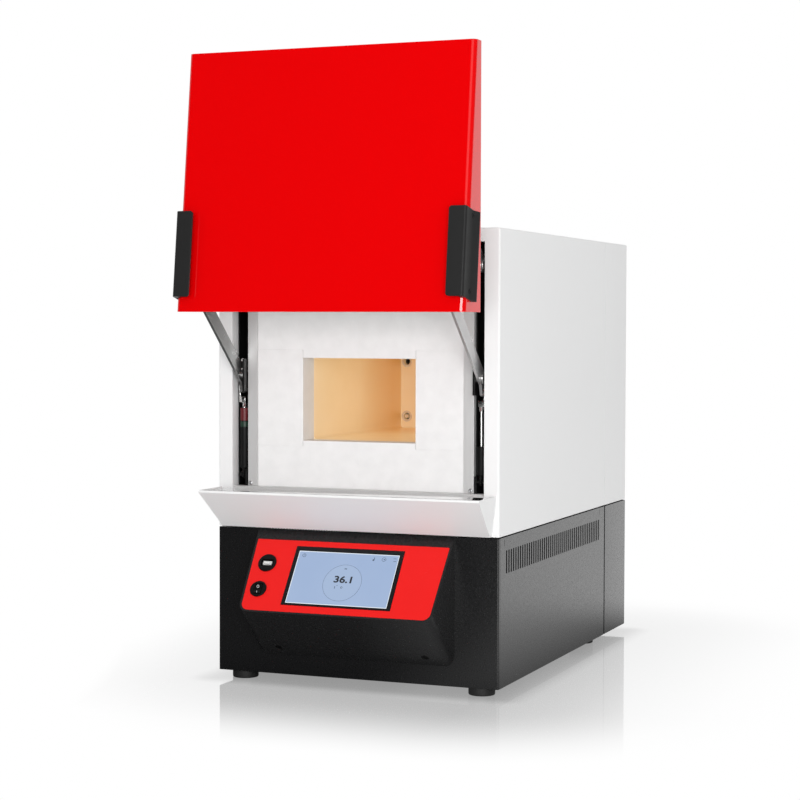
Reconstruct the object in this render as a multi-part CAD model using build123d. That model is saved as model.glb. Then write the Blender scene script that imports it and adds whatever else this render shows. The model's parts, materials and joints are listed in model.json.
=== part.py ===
from build123d import *
import os
from math import atan2, cos, degrees, hypot, radians, sin, tan

# Bench ashing furnace, shown with its door raised.
# Construction frame: X across, Y = 0 on the front face of the white casing with depth along +Y,
# Z = 0 on the bench. Every part is moved to the origin of its footprint when it is written.

# Driving dimensions, mm
WIDTH = 435.0
DEPTH = 660.0
HEIGHT = 655.0
FOOT_HEIGHT = 12.0
BASE_TOP = 223.2
CASING_BOTTOM = 225.0
REAR_SPLIT = 530.0
SPLIT_GAP = 1.4
BASE_SPLIT_GAP = 5.0
SHEET = 1.5
FLANGE_WIDTH = 22.5
SHELF_HEIGHT = 282.3
SHELF_REACH = 72.0

CHAMBER_WIDTH = 175.0
CHAMBER_HEIGHT = 120.0
CHAMBER_DEPTH = 345.0
CHAMBER_MIDDLE = 412.0
CHAMBER_CORNER = 5.0
MUFFLE_WALL = 10.0
REVEAL_DEPTH = 38.0
BRICK_FRONT = 13.2

DOOR_WIDTH = 430.0
DOOR_HEIGHT = 364.0
DOOR_THICK_TOP = 21.1
DOOR_THICK_BOTTOM = 63.7
DOOR_SHUT_BOTTOM = 285.5
DOOR_SHUT_GAP = 3.4
DOOR_LIFT = 252.0
DOOR_FORWARD = 70.0

ARM_OPEN_ANGLE = 41.7
ARM_PIVOT_Y = 13.5
LOWER_PIVOT_Z = 446.0
PIVOT_SPACING = 158.0
ARM_WIDTH = 22.0
ARM_INNER = 184.0
ARM_OUTER = 188.0
PIN_RADIUS = 5.0
RUNNING_GAP = 0.06

DISPLAY_WIDTH = 167.0
DISPLAY_HEIGHT = 96.0
SCREEN_WIDTH = 154.5
SCREEN_HEIGHT = 85.0

# Values that follow from them
HALF = WIDTH / 2
OPENING = HALF - FLANGE_WIDTH
HEADER = HEIGHT - 19.0
SILL = 280.0
DOOR_OPEN_BOTTOM = DOOR_SHUT_BOTTOM + DOOR_LIFT
DOOR_OPEN_BACK = -DOOR_SHUT_GAP - DOOR_FORWARD
MEAN_ANGLE = -degrees(atan2(DOOR_FORWARD, DOOR_LIFT))
ARM_SWING = 2 * (ARM_OPEN_ANGLE - MEAN_ANGLE)
ARM_LENGTH = hypot(DOOR_LIFT, DOOR_FORWARD) / (2 * sin(radians(ARM_SWING / 2)))
UPPER_PIVOT_Z = LOWER_PIVOT_Z + PIVOT_SPACING
ARM_RISE = ARM_LENGTH * sin(radians(ARM_OPEN_ANGLE))
ARM_REACH = ARM_LENGTH * cos(radians(ARM_OPEN_ANGLE))
DOOR_PIN_Y = ARM_PIVOT_Y - ARM_REACH
LOWER_DOOR_PIN_Z = LOWER_PIVOT_Z + ARM_RISE
UPPER_DOOR_PIN_Z = UPPER_PIVOT_Z + ARM_RISE

# Door handles: their run down the sloping face, how far the grip stands ahead of it, and the
# slant of their ends, which are lower at the rear
HANDLE_TOP = 225.8
HANDLE_LENGTH = 120.3
HANDLE_REACH = 11.0
END_SLANT = radians(6.8)
FACE_TILT = atan2(DOOR_THICK_BOTTOM - DOOR_THICK_TOP, DOOR_HEIGHT)
END_ANGLE = FACE_TILT + END_SLANT
HANDLE_START = HANDLE_TOP + HANDLE_REACH * tan(END_SLANT)
HANDLE_END = HANDLE_START + HANDLE_LENGTH
FRONT_REACH = (
    -DOOR_OPEN_BACK + DOOR_THICK_TOP + HANDLE_END * sin(FACE_TILT) + HANDLE_REACH * cos(END_ANGLE)
)
GLAND_REACH = 14.0

# The footprint runs from the front of the handles to the back of the cable gland
ORIGIN_Y = (DEPTH + GLAND_REACH - FRONT_REACH) / 2

os.makedirs("parts", exist_ok=True)


def save(name, shape):
    """Move a part to the footprint's origin and write it."""
    moved = Pos(0, -ORIGIN_Y, 0) * shape
    export_step(moved, f"parts/{name}.step")


def block(x0, x1, y0, y1, z0, z1):
    """A box between two corners."""
    middle = Pos((x0 + x1) / 2, (y0 + y1) / 2, (z0 + z1) / 2)
    return middle * Box(abs(x1 - x0), abs(y1 - y0), abs(z1 - z0))


def bar_x(radius, x0, x1, y, z):
    """A round bar along X."""
    return Pos((x0 + x1) / 2, y, z) * Rot(0, 90, 0) * Cylinder(radius, abs(x1 - x0))


def bar_y(radius, y0, y1, x, z):
    """A round bar along Y."""
    return Pos(x, (y0 + y1) / 2, z) * Rot(90, 0, 0) * Cylinder(radius, abs(y1 - y0))


def bar_z(radius, z0, z1, x, y):
    """A round bar along Z."""
    return Pos(x, y, (z0 + z1) / 2) * Cylinder(radius, abs(z1 - z0))


def profile(points, x0, x1):
    """An outline of (y, z) points carried along X."""
    face = Plane.YZ.offset(x0) * Polygon(*points, align=None)
    return extrude(face, amount=x1 - x0, dir=(1, 0, 0))


def other_side(shape):
    """The same piece on the other side of the furnace."""
    return mirror(shape, about=Plane.YZ)


def both(shape):
    """A piece and its mirror image as one group."""
    return Compound(children=[shape, other_side(shape)])


def edges_along(shape, axis, **near):
    """Straight edges along an axis whose middle lies at the given coordinates."""
    found = shape.edges().filter_by(axis)
    for name, value in near.items():
        found = found.filter_by(lambda edge: abs(getattr(edge.center(), name) - value) < 0.6)
    return found


# Feet
FOOT_RADIUS = 19.0
FOOT_X = 185.0
FOOT_FRONT = 23.0
FOOT_REAR = 512.0
SCREW_RADIUS = 2.5
SCREW_CLEAR = 0.2
SCREW_TOP = 20.0
FOOT_RECESS = 6.0
FOOT_RECESS_RADIUS = 6.2
foot_places = [(x, y) for x in (-FOOT_X, FOOT_X) for y in (FOOT_FRONT, FOOT_REAR)]


def rubber_foot(x, y):
    foot = Pos(x, y, FOOT_HEIGHT / 2) * Cylinder(FOOT_RADIUS, FOOT_HEIGHT)
    foot = chamfer(foot.edges().group_by(Axis.Z)[0], 1.5)
    foot -= bar_z(FOOT_RECESS_RADIUS, 0, FOOT_RECESS, x, y)
    foot -= bar_z(SCREW_RADIUS + SCREW_CLEAR, 0, FOOT_HEIGHT, x, y)
    return foot


def foot_screw(x, y):
    head_top = FOOT_RECESS - 0.1
    head = bar_z(FOOT_RECESS_RADIUS - 0.7, head_top - 3.5, head_top, x, y)
    return head + bar_z(SCREW_RADIUS, head_top, SCREW_TOP, x, y)


save("feet", Compound(children=[rubber_foot(x, y) for x, y in foot_places]))
save("foot_screws", Compound(children=[foot_screw(x, y) for x, y in foot_places]))

# Black base: bottom pan, front panel, vented sides, rear cover
PANEL_BEND = 2.5
FRONT_RETURN = 6.0
PAN_HALF = HALF - SHEET - 0.3
PAN_BACK = REAR_SPLIT + BASE_SPLIT_GAP - 0.5
PAN_LIP = 34.0

pan = block(-PAN_HALF, PAN_HALF, FRONT_RETURN + 0.3, PAN_BACK, FOOT_HEIGHT, PAN_LIP)
pan -= block(-PAN_HALF + SHEET, PAN_HALF - SHEET, 0, PAN_BACK + 1, FOOT_HEIGHT + SHEET, PAN_LIP + 1)
pan -= [bar_z(SCREW_RADIUS + SCREW_CLEAR, FOOT_HEIGHT - 1, FOOT_HEIGHT + 3, x, y) for x, y in foot_places]
save("base_pan", pan)

POD_HOLE_HALF = 135.0
POD_HOLE_LOW = 62.0
POD_HOLE_HIGH = 208.0
panel = block(-HALF, HALF, 0, FRONT_RETURN, FOOT_HEIGHT, BASE_TOP)
corners = edges_along(panel, Axis.Z, Y=0)
panel = fillet(corners, PANEL_BEND)
panel -= block(
    -HALF + SHEET, HALF - SHEET, SHEET, FRONT_RETURN + 1, FOOT_HEIGHT + SHEET, BASE_TOP - SHEET
)
panel -= block(-POD_HOLE_HALF, POD_HOLE_HALF, -1, SHEET + 1, POD_HOLE_LOW, POD_HOLE_HIGH)
save("base_front_panel", panel)

VENT_COUNT = 46
VENT_FIRST = 31.0
VENT_PITCH = 10.3
VENT_WIDTH = 5.0
VENT_LOW = 171.5
VENT_HIGH = 204.0
TAB_CUTS = (24.0, 503.0)
TAB_LEVELS = (211.0, 220.0)
TOP_FLANGE = 14.0
JOGGLE_STEP = SHEET + 0.2
JOGGLE_REACH = 14.0


def base_side():
    side = block(HALF - SHEET, HALF, FRONT_RETURN + 0.3, REAR_SPLIT, FOOT_HEIGHT, BASE_TOP)
    side += block(HALF - TOP_FLANGE, HALF, FRONT_RETURN + 0.3, REAR_SPLIT, BASE_TOP - SHEET, BASE_TOP)
    joggle_levels = (PAN_LIP + 0.5, BASE_TOP)
    tongue = (HALF - JOGGLE_STEP - SHEET, HALF - JOGGLE_STEP)
    side += block(tongue[0], HALF, REAR_SPLIT - SHEET, REAR_SPLIT, *joggle_levels)
    side += block(*tongue, REAR_SPLIT - SHEET, REAR_SPLIT + JOGGLE_REACH, *joggle_levels)
    starts = [VENT_FIRST + i * VENT_PITCH for i in range(VENT_COUNT)]
    slots = [block(HALF - 3, HALF + 1, y, y + VENT_WIDTH, VENT_LOW, VENT_HIGH) for y in starts]
    slots += [block(HALF - 3, HALF + 1, y, y + 1.2, *TAB_LEVELS) for y in TAB_CUTS]
    return side - slots


side_right = base_side()
save("base_side_right", side_right)
save("base_side_left", other_side(side_right))

GLAND_X = 150.0
GLAND_Z = 58.0
GLAND_RADIUS = 10.0
BASE_REAR_START = REAR_SPLIT + BASE_SPLIT_GAP
REAR_VENTS = 15
REAR_VENT_FIRST = -175.0
REAR_VENT_PITCH = 12.0
REAR_VENT_WIDTH = 5.0
REAR_VENT_LEVELS = (50.0, 110.0)


def rear_vents(first, count, low, high):
    """Upright slots through a rear cover, side by side from the left."""
    starts = [first + i * REAR_VENT_PITCH for i in range(count)]
    return [block(x, x + REAR_VENT_WIDTH, DEPTH - 3, DEPTH + 1, low, high) for x in starts]


rear = block(-HALF, HALF, BASE_REAR_START, DEPTH, FOOT_HEIGHT, BASE_TOP)
rear = fillet(edges_along(rear, Axis.Z, Y=DEPTH), PANEL_BEND)
rear -= block(
    -HALF + SHEET, HALF - SHEET, BASE_REAR_START - 1, DEPTH - SHEET, FOOT_HEIGHT + SHEET, BASE_TOP + 1
)
rear -= bar_y(GLAND_RADIUS + 0.1, DEPTH - 5, DEPTH + 5, GLAND_X, GLAND_Z)
rear -= rear_vents(REAR_VENT_FIRST, REAR_VENTS, *REAR_VENT_LEVELS)
save("base_rear_cover", rear)

HEXAGON_RADIUS = 13.5
HEXAGON_SHEET = 5.0
GLAND_CAP_RADIUS = 11.5
GLAND_THREAD = 14.0
CABLE_RADIUS = 5.0
hexagon = extrude(RegularPolygon(HEXAGON_RADIUS, 6), HEXAGON_SHEET / 2, both=True)
gland = Pos(GLAND_X, DEPTH + HEXAGON_SHEET / 2, GLAND_Z) * Rot(90, 0, 0) * hexagon
gland += bar_y(GLAND_RADIUS, DEPTH - GLAND_THREAD, DEPTH, GLAND_X, GLAND_Z)
gland += bar_y(GLAND_CAP_RADIUS, DEPTH + HEXAGON_SHEET, DEPTH + GLAND_REACH, GLAND_X, GLAND_Z)
gland = chamfer(gland.edges().filter_by(GeomType.CIRCLE).sort_by(Axis.Y)[-1:], 3.0)
gland -= bar_y(CABLE_RADIUS, DEPTH - GLAND_THREAD - 1, DEPTH + GLAND_REACH + 1, GLAND_X, GLAND_Z)
save("cable_gland", gland)

# White casing: wrap with front flanges, floor, rear cover
CASING_BEND = 3.0
RETURN_DEPTH = 20.0
casing = block(-HALF, HALF, 0, REAR_SPLIT, CASING_BOTTOM, HEIGHT)
casing = fillet(edges_along(casing, Axis.Z, Y=0) + edges_along(casing, Axis.Y, Z=HEIGHT), CASING_BEND)
casing = fillet(edges_along(casing, Axis.X, Y=0, Z=HEIGHT), 2.0)
casing -= block(-HALF + SHEET, HALF - SHEET, SHEET, REAR_SPLIT + 1, CASING_BOTTOM - 1, HEIGHT - SHEET)
casing -= block(-OPENING, OPENING, -1, SHEET + 1, SILL, HEADER)
frame_outer = block(-OPENING - SHEET, OPENING + SHEET, SHEET, RETURN_DEPTH, SILL - SHEET, HEADER + SHEET)
frame_inner = block(-OPENING, OPENING, 0, RETURN_DEPTH + 1, SILL, HEADER)
casing += frame_outer - frame_inner
save("casing_shell", casing)

OUTLET_X = -78.0
OUTLET_Z = 460.0
OUTLET_RADIUS = 7.0
REAR_START = REAR_SPLIT + SPLIT_GAP
cover = block(-HALF, HALF, REAR_START, DEPTH, CASING_BOTTOM, HEIGHT)
cover = fillet(edges_along(cover, Axis.Z, Y=DEPTH) + edges_along(cover, Axis.Y, Z=HEIGHT), CASING_BEND)
cover -= block(-HALF + SHEET, HALF - SHEET, REAR_START - 1, DEPTH - SHEET, CASING_BOTTOM - 1, HEIGHT - SHEET)
cover -= bar_y(OUTLET_RADIUS + 1.5, DEPTH - 5, DEPTH + 1, OUTLET_X, OUTLET_Z)
COVER_VENTS = 24
COVER_VENT_FIRST = -140.5
COVER_VENT_HEIGHT = 34.0
COVER_VENT_LEVELS = (262.0, 588.0)
for low in COVER_VENT_LEVELS:
    cover -= rear_vents(COVER_VENT_FIRST, COVER_VENTS, low, low + COVER_VENT_HEIGHT)
save("casing_rear_cover", cover)

COVER_SCREW_X = 205.0
COVER_SCREW_LEVELS = (30, 205, 245, 440, 636)
COVER_SCREW_RADIUS = 4.0
screw_depths = (DEPTH, DEPTH + 2.2)
cover_screws = [
    bar_y(COVER_SCREW_RADIUS, *screw_depths, side * COVER_SCREW_X, z)
    for side in (-1, 1)
    for z in COVER_SCREW_LEVELS
]
save("rear_screws", Compound(children=cover_screws))

# Slots beside the chamber front, lined with black channel, and the bright trims
CHANNEL_INNER = 175.7
CHANNEL_OUTER = OPENING - 0.2
CHANNEL_BACK = 60.0
CHANNEL_WALL = 1.2
TRIM_EDGE = 160.2
CHANNEL_HOLLOW = (CHANNEL_INNER + CHANNEL_WALL, CHANNEL_OUTER - CHANNEL_WALL)
channel = block(CHANNEL_INNER, CHANNEL_OUTER, RETURN_DEPTH + 0.2, CHANNEL_BACK, SILL, HEADER)
channel -= block(*CHANNEL_HOLLOW, 0, CHANNEL_BACK - CHANNEL_WALL, SILL - 1, HEADER + 1)
save("slot_channel_right", channel)
save("slot_channel_left", other_side(channel))

TRIM_OUTER = 175.5
BRICK_BOTTOM = 284.2
BRICK_TOP = HEADER - 0.3
TRIM_SHEET = 1.2
TRIM_FACE = BRICK_FRONT - TRIM_SHEET
trim = block(TRIM_EDGE, TRIM_OUTER, TRIM_FACE, BRICK_FRONT, BRICK_BOTTOM, BRICK_TOP)
trim += block(TRIM_OUTER - TRIM_SHEET, TRIM_OUTER, TRIM_FACE, RETURN_DEPTH, BRICK_BOTTOM, BRICK_TOP)
save("front_trims", both(trim))
sill_trim = block(-OPENING + 0.3, OPENING - 0.3, 4, 19, BRICK_BOTTOM - 1.4, BRICK_BOTTOM - 0.2)
sill_trim += block(-OPENING + 0.3, OPENING - 0.3, 4, 5.2, SILL + 0.2, BRICK_BOTTOM - 0.2)
save("sill_trim", sill_trim)
TRIM_SCREW_X = 171.0
TRIM_SCREW_LEVELS = (288.0, 624.0)
TRIM_SCREW_RADIUS = 3.0
screw_places = [(side * TRIM_SCREW_X, z) for side in (-1, 1) for z in TRIM_SCREW_LEVELS]
trim_screws = [bar_y(TRIM_SCREW_RADIUS, TRIM_FACE - 2.2, TRIM_FACE, x, z) for x, z in screw_places]
save("trim_screws", Compound(children=trim_screws))

# White insulating blocks round the chamber mouth: two above, two below, one each side
BRICK_EDGE = TRIM_EDGE - 0.3
BRICK_BACK = BRICK_FRONT + REVEAL_DEPTH
SEAM = 0.25
MOUTH = CHAMBER_WIDTH / 2
MOUTH_LOW = CHAMBER_MIDDLE - CHAMBER_HEIGHT / 2
MOUTH_HIGH = CHAMBER_MIDDLE + CHAMBER_HEIGHT / 2
UPPER_SEAM = 483.7
LOWER_SEAM = 343.6
upper = block(SEAM, BRICK_EDGE, BRICK_FRONT, BRICK_BACK, UPPER_SEAM, BRICK_TOP)
upper += block(SEAM, MOUTH, BRICK_FRONT, BRICK_BACK, MOUTH_HIGH, UPPER_SEAM)
lower = block(SEAM, BRICK_EDGE, BRICK_FRONT, BRICK_BACK, BRICK_BOTTOM, LOWER_SEAM)
lower += block(SEAM, MOUTH, BRICK_FRONT, BRICK_BACK, LOWER_SEAM, MOUTH_LOW)
GAP = 2 * SEAM
middle = block(MOUTH + GAP, BRICK_EDGE, BRICK_FRONT, BRICK_BACK, LOWER_SEAM + GAP, UPPER_SEAM - GAP)
middle += block(MOUTH, MOUTH + GAP, BRICK_FRONT, BRICK_BACK, MOUTH_LOW + GAP, MOUTH_HIGH - GAP)
save("front_blocks_upper", both(upper))
save("front_blocks_side", both(middle))
save("front_blocks_lower", both(lower))

# Ceramic muffle with rounded corners and a closed back
MUFFLE_FRONT = BRICK_BACK + 0.4
MUFFLE_END = MUFFLE_FRONT + CHAMBER_DEPTH
PROBE_X = OUTLET_X
PROBE_Z = 371.0
PORT_RADIUS = 5.5
outer_size = (CHAMBER_WIDTH + 2 * MUFFLE_WALL, CHAMBER_HEIGHT + 2 * MUFFLE_WALL)
muffle_plane = Plane(origin=(0, MUFFLE_FRONT, CHAMBER_MIDDLE), x_dir=(1, 0, 0), z_dir=(0, -1, 0))
outside = muffle_plane * RectangleRounded(*outer_size, CHAMBER_CORNER + MUFFLE_WALL)
inside = muffle_plane * RectangleRounded(CHAMBER_WIDTH, CHAMBER_HEIGHT, CHAMBER_CORNER)
muffle = extrude(outside, -CHAMBER_DEPTH - MUFFLE_WALL) - extrude(inside, -CHAMBER_DEPTH)
for z in (PROBE_Z, OUTLET_Z):
    muffle -= bar_y(PORT_RADIUS, MUFFLE_END - 1, MUFFLE_END + MUFFLE_WALL + 1, PROBE_X, z)
save("muffle", muffle)

# Inner steel case and the insulation in it
CASE_HALF = 174.8
CASE_FRONT = 22.0
CASE_BACK = 470.0
CASE_LOW = 243.0
CASE_HIGH = 640.0
CASE_WALL = 1.0
CASE_INSIDE = CASE_HALF - CASE_WALL
CASE_DEPTHS = (CASE_FRONT + CASE_WALL, CASE_BACK - CASE_WALL)
CASE_WINDOW = BRICK_EDGE + 0.5
inner_case = block(-CASE_HALF, CASE_HALF, CASE_FRONT, CASE_BACK, CASE_LOW, CASE_HIGH)
inner_case -= block(-CASE_INSIDE, CASE_INSIDE, *CASE_DEPTHS, CASE_LOW + CASE_WALL, CASE_HIGH - CASE_WALL)
inner_case -= block(
    -CASE_WINDOW, CASE_WINDOW, CASE_FRONT - 1, CASE_FRONT + 3, BRICK_BOTTOM - 0.5, BRICK_TOP + 0.5
)

BOARD_HALF = CASE_INSIDE - 0.2
BOARD_FRONT = BRICK_BACK + 0.4
BOARD_BACK = CASE_BACK - CASE_WALL - 0.2
BOARD_INNER = 112.0
MUFFLE_LOW = MOUTH_LOW - MUFFLE_WALL
ROOF_LOW = 500.0
REAR_BOARD = MUFFLE_END + MUFFLE_WALL + 2
BOARD_LOW = CASE_LOW + CASE_WALL + 0.2
BOARD_HIGH = CASE_HIGH - CASE_WALL - 0.2
SIDE_LEVELS = (MUFFLE_LOW + 0.2, ROOF_LOW - 0.2)
save("insulation_floor", block(-BOARD_HALF, BOARD_HALF, BOARD_FRONT, BOARD_BACK, BOARD_LOW, MUFFLE_LOW))
save("insulation_roof", block(-BOARD_HALF, BOARD_HALF, BOARD_FRONT, BOARD_BACK, ROOF_LOW, BOARD_HIGH))
save("insulation_sides", both(block(BOARD_INNER, BOARD_HALF, BOARD_FRONT, BOARD_BACK, *SIDE_LEVELS)))
rear_board = block(-BOARD_INNER + 0.3, BOARD_INNER - 0.3, REAR_BOARD, BOARD_BACK, *SIDE_LEVELS)

# Wire elements on both sides of the muffle: level runs joined by half turns, tails to the back
WIRE_RADIUS = 2.0
WIRE_X = 104.5
WIRE_FRONT = 78.0
WIRE_BACK = 384.0
WIRE_PITCH = 24.0
WIRE_FIRST = 354.0
WIRE_RUNS = 6
WIRE_TAIL = 512.0


def wire_path():
    """Level runs to and fro, one above the other, as one smooth path in the Y-Z plane."""
    pieces = []
    turn = WIRE_PITCH / 2
    for run in range(WIRE_RUNS):
        z = WIRE_FIRST + run * WIRE_PITCH
        forwards = run % 2 == 0
        start = WIRE_TAIL if run == 0 else (WIRE_BACK if forwards else WIRE_FRONT)
        end = WIRE_FRONT if forwards else (WIRE_TAIL if run == WIRE_RUNS - 1 else WIRE_BACK)
        pieces.append(Line((WIRE_X, start, z), (WIRE_X, end, z)))
        if run < WIRE_RUNS - 1:
            crest = end - turn if forwards else end + turn
            ends = ((WIRE_X, end, z), (WIRE_X, end, z + WIRE_PITCH))
            pieces.append(ThreePointArc(ends[0], (WIRE_X, crest, z + turn), ends[1]))
    return Wire(pieces)


path = wire_path()
section = Plane(origin=(WIRE_X, WIRE_TAIL, WIRE_FIRST), z_dir=(0, -1, 0)) * Circle(WIRE_RADIUS)
element = sweep(section, path=path)
save("heating_elements", both(element))

tail_levels = (WIRE_FIRST, WIRE_FIRST + (WIRE_RUNS - 1) * WIRE_PITCH)
tail_places = [(side * WIRE_X, z) for side in (-1, 1) for z in tail_levels]
holes = [bar_y(WIRE_RADIUS + 1.5, REAR_BOARD - 1, CASE_BACK + 1, x, z) for x, z in tail_places]
holes += [bar_y(OUTLET_RADIUS + 0.5, REAR_BOARD - 1, CASE_BACK + 1, PROBE_X, z) for z in (PROBE_Z, OUTLET_Z)]
save("inner_case", inner_case - holes)
save("insulation_rear", rear_board - holes)

# Casing floor with two pressed rails that carry the inner case
RAIL_PLACES = (60.0, 430.0)
RAIL_WIDTH = 30.0
RAIL_HALF = 165.0
WIRE_PASSAGE = (-60.0, 60.0, 480.0, 515.0)
floor = block(-HALF + 2, HALF - 2, 2, REAR_SPLIT, CASING_BOTTOM, CASING_BOTTOM + SHEET)
floor -= block(*WIRE_PASSAGE, CASING_BOTTOM - 1, CASING_BOTTOM + 3)
for y in RAIL_PLACES:
    rail_depths = (y + SHEET, y + RAIL_WIDTH - SHEET)
    floor += block(-RAIL_HALF, RAIL_HALF, y, y + RAIL_WIDTH, CASING_BOTTOM, CASE_LOW)
    floor -= block(-RAIL_HALF - 1, RAIL_HALF + 1, *rail_depths, CASING_BOTTOM - 1, CASE_LOW - SHEET)
save("casing_floor", floor)

# Thermocouple in the lower port, fume outlet tube in the upper one
PROBE_HEAD = (488.0, 506.0)
PROBE_RADIUS = 3.0
PROBE_HEAD_SIDES = (11.0, 8.0)
head_x, head_z = PROBE_HEAD_SIDES
probe = bar_y(PROBE_RADIUS, MUFFLE_END - 1, PROBE_HEAD[0], PROBE_X, PROBE_Z)
probe += block(PROBE_X - head_x, PROBE_X + head_x, *PROBE_HEAD, PROBE_Z - head_z, PROBE_Z + head_z)
save("thermocouple", probe)
outlet = bar_y(OUTLET_RADIUS, MUFFLE_END + MUFFLE_WALL + 0.3, DEPTH + 6, OUTLET_X, OUTLET_Z)
outlet -= bar_y(PORT_RADIUS, MUFFLE_END, DEPTH + 8, OUTLET_X, OUTLET_Z)
save("fume_outlet", outlet)

# Shelf in front of the chamber: an apron that slopes back going down, closed ends, an upright rim
SHELF_LOW = CASING_BOTTOM + 0.5
SHELF_RIM = 3.2
LIP = 2.0
TOP_HALF = 213.4
LOW_HALF = 207.0
LOW_REACH = 8.0


def shelf_solid(inset):
    """A ruled wedge with an upright rim on its wider end, its outlines drawn in by an inset."""
    rim_size = (2 * (TOP_HALF - inset), SHELF_REACH - inset)
    low_size = (2 * (LOW_HALF - inset), LOW_REACH - inset)
    rim_face = Pos(0, 0, SHELF_HEIGHT - SHELF_RIM) * Rectangle(*rim_size, align=(Align.CENTER, Align.MAX))
    low_face = Pos(0, 0, SHELF_LOW) * Rectangle(*low_size, align=(Align.CENTER, Align.MAX))
    return loft([low_face, rim_face], ruled=True) + extrude(rim_face, SHELF_RIM, dir=(0, 0, 1))


shelf = shelf_solid(0)
shelf -= Pos(0, 0.01, SHEET) * shelf_solid(SHEET)
deck_levels = (SHELF_HEIGHT - LIP - SHEET, SHELF_HEIGHT - LIP)
deck = block(-TOP_HALF + 1, TOP_HALF - 1, -SHELF_REACH + 2, 0, *deck_levels)
shelf += deck & shelf_solid(0.5)
save("shelf", shelf)

# Control pod: a wedge on the base with the red fascia let into its sloping face
SLOPE = 36.5
FASCIA_MIDDLE_Y = -43.6
FASCIA_MIDDLE_Z = 163.5
FASCIA_LOW = -59.2
FASCIA_HIGH = 56.7
FASCIA_SHEET = 1.2
FASCIA_CORNER = 11.0
FASCIA_TOP_CORNER = 1.5
RIM = 3.0
POD_HALF = 152.0
POD_TAPER = 0.0725
POD_WALL = 2.5
POD_CORNER = 14.0
POD_FOOT = 40.0
RISE = cos(radians(SLOPE))
RUN = sin(radians(SLOPE))
face_plane = Plane(origin=(0, FASCIA_MIDDLE_Y, FASCIA_MIDDLE_Z), x_dir=(1, 0, 0), z_dir=(0, -RISE, RUN))


def on_slope(distance):
    """Construction (y, z) at a distance up the sloping face from the fascia's middle."""
    return (FASCIA_MIDDLE_Y + distance * RUN, FASCIA_MIDDLE_Z + distance * RISE)


def fascia_box(x0, x1, y0, y1, below, above):
    """A box laid on the sloping face: x across, y up the slope, below and above the face."""
    middle = Pos((x0 + x1) / 2, (y0 + y1) / 2, (above - below) / 2)
    return face_plane.location * middle * Box(x1 - x0, y1 - y0, above + below)


def fascia_disc(radius, x, y, below, above):
    return face_plane.location * Pos(x, y, (above - below) / 2) * Cylinder(radius, above + below)


nose = on_slope(FASCIA_LOW - RIM)
brow = on_slope(-FASCIA_MIDDLE_Y / RUN)


def pod_plan(half):
    """The pod seen from above: sides that draw in evenly towards the front."""
    behind, ahead = 5.0, 100.0
    wide = half + POD_TAPER * behind
    narrow = half - POD_TAPER * ahead
    plan = Polygon((-wide, behind), (wide, behind), (narrow, -ahead), (-narrow, -ahead), align=None)
    return extrude(plan, BASE_TOP, dir=(0, 0, 1))


def pod_wedge(half, foot, tip, top, corner):
    """The pod's triangle carried across, drawn in, with its two slanting lower edges rounded."""
    shape = profile([foot, tip, top], -half - 1, half + 1) & pod_plan(half)
    level = (foot[1] + tip[1]) / 2
    side_edges = [e for e in shape.edges() if abs(e.center().X) > half * 0.9]
    return fillet([e for e in side_edges if abs(e.center().Z - level) < 1], corner)


pod = pod_wedge(POD_HALF, (0, POD_FOOT), nose, brow, POD_CORNER)
inner_foot = (1, POD_FOOT + POD_WALL * 1.6)
inner_nose = (nose[0] + POD_WALL * 1.9, nose[1])
inner_brow = (1, brow[1] - POD_WALL * 1.8)
pod -= pod_wedge(POD_HALF - POD_WALL, inner_foot, inner_nose, inner_brow, POD_CORNER - POD_WALL)
USB_X = -122.3
USB_Y = 17.3
USB_RADIUS = 14.0
SWITCH_X = -124.5
SWITCH_Y = -25.5
SWITCH_RADIUS = 12.5
BARREL_RADIUS = 10.6
BARREL_HOLE = BARREL_RADIUS + 0.2
DISPLAY_Y = -0.3
SCREEN_Y = -2.2


def slope_plate(gap, thickness):
    """The fascia's outline, widened by a gap all round, as a plate let into the sloping face."""
    levels = (FASCIA_LOW - gap, FASCIA_HIGH + gap)
    low_half, high_half = [POD_HALF - RIM + gap + POD_TAPER * on_slope(level)[0] for level in levels]
    corners = [(-low_half, levels[0]), (low_half, levels[0]), (high_half, levels[1]), (-high_half, levels[1])]
    outline = Polygon(*corners, align=None)
    outline = fillet(outline.vertices().group_by(Axis.Y)[0], FASCIA_CORNER)
    outline = fillet(outline.vertices().group_by(Axis.Y)[-1], FASCIA_TOP_CORNER)
    return face_plane.location * Pos(0, 0, -thickness) * extrude(outline, thickness, dir=(0, 0, 1))


def slope_window(width, height, y, inset, below, above):
    """A box centred across the sloping face, drawn in by an inset all round."""
    half_width = width / 2 - inset
    half_height = height / 2 - inset
    return fascia_box(-half_width, half_width, y - half_height, y + half_height, below, above)


def control_windows(below):
    """The cut-outs for the display, the data socket and the switch."""
    display = slope_window(DISPLAY_WIDTH, DISPLAY_HEIGHT, DISPLAY_Y, 0, below, 5)
    socket = fascia_disc(BARREL_HOLE, USB_X, USB_Y, below, 5)
    switch = fascia_disc(BARREL_HOLE, SWITCH_X, SWITCH_Y, below, 5)
    return [display, socket, switch]


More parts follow.
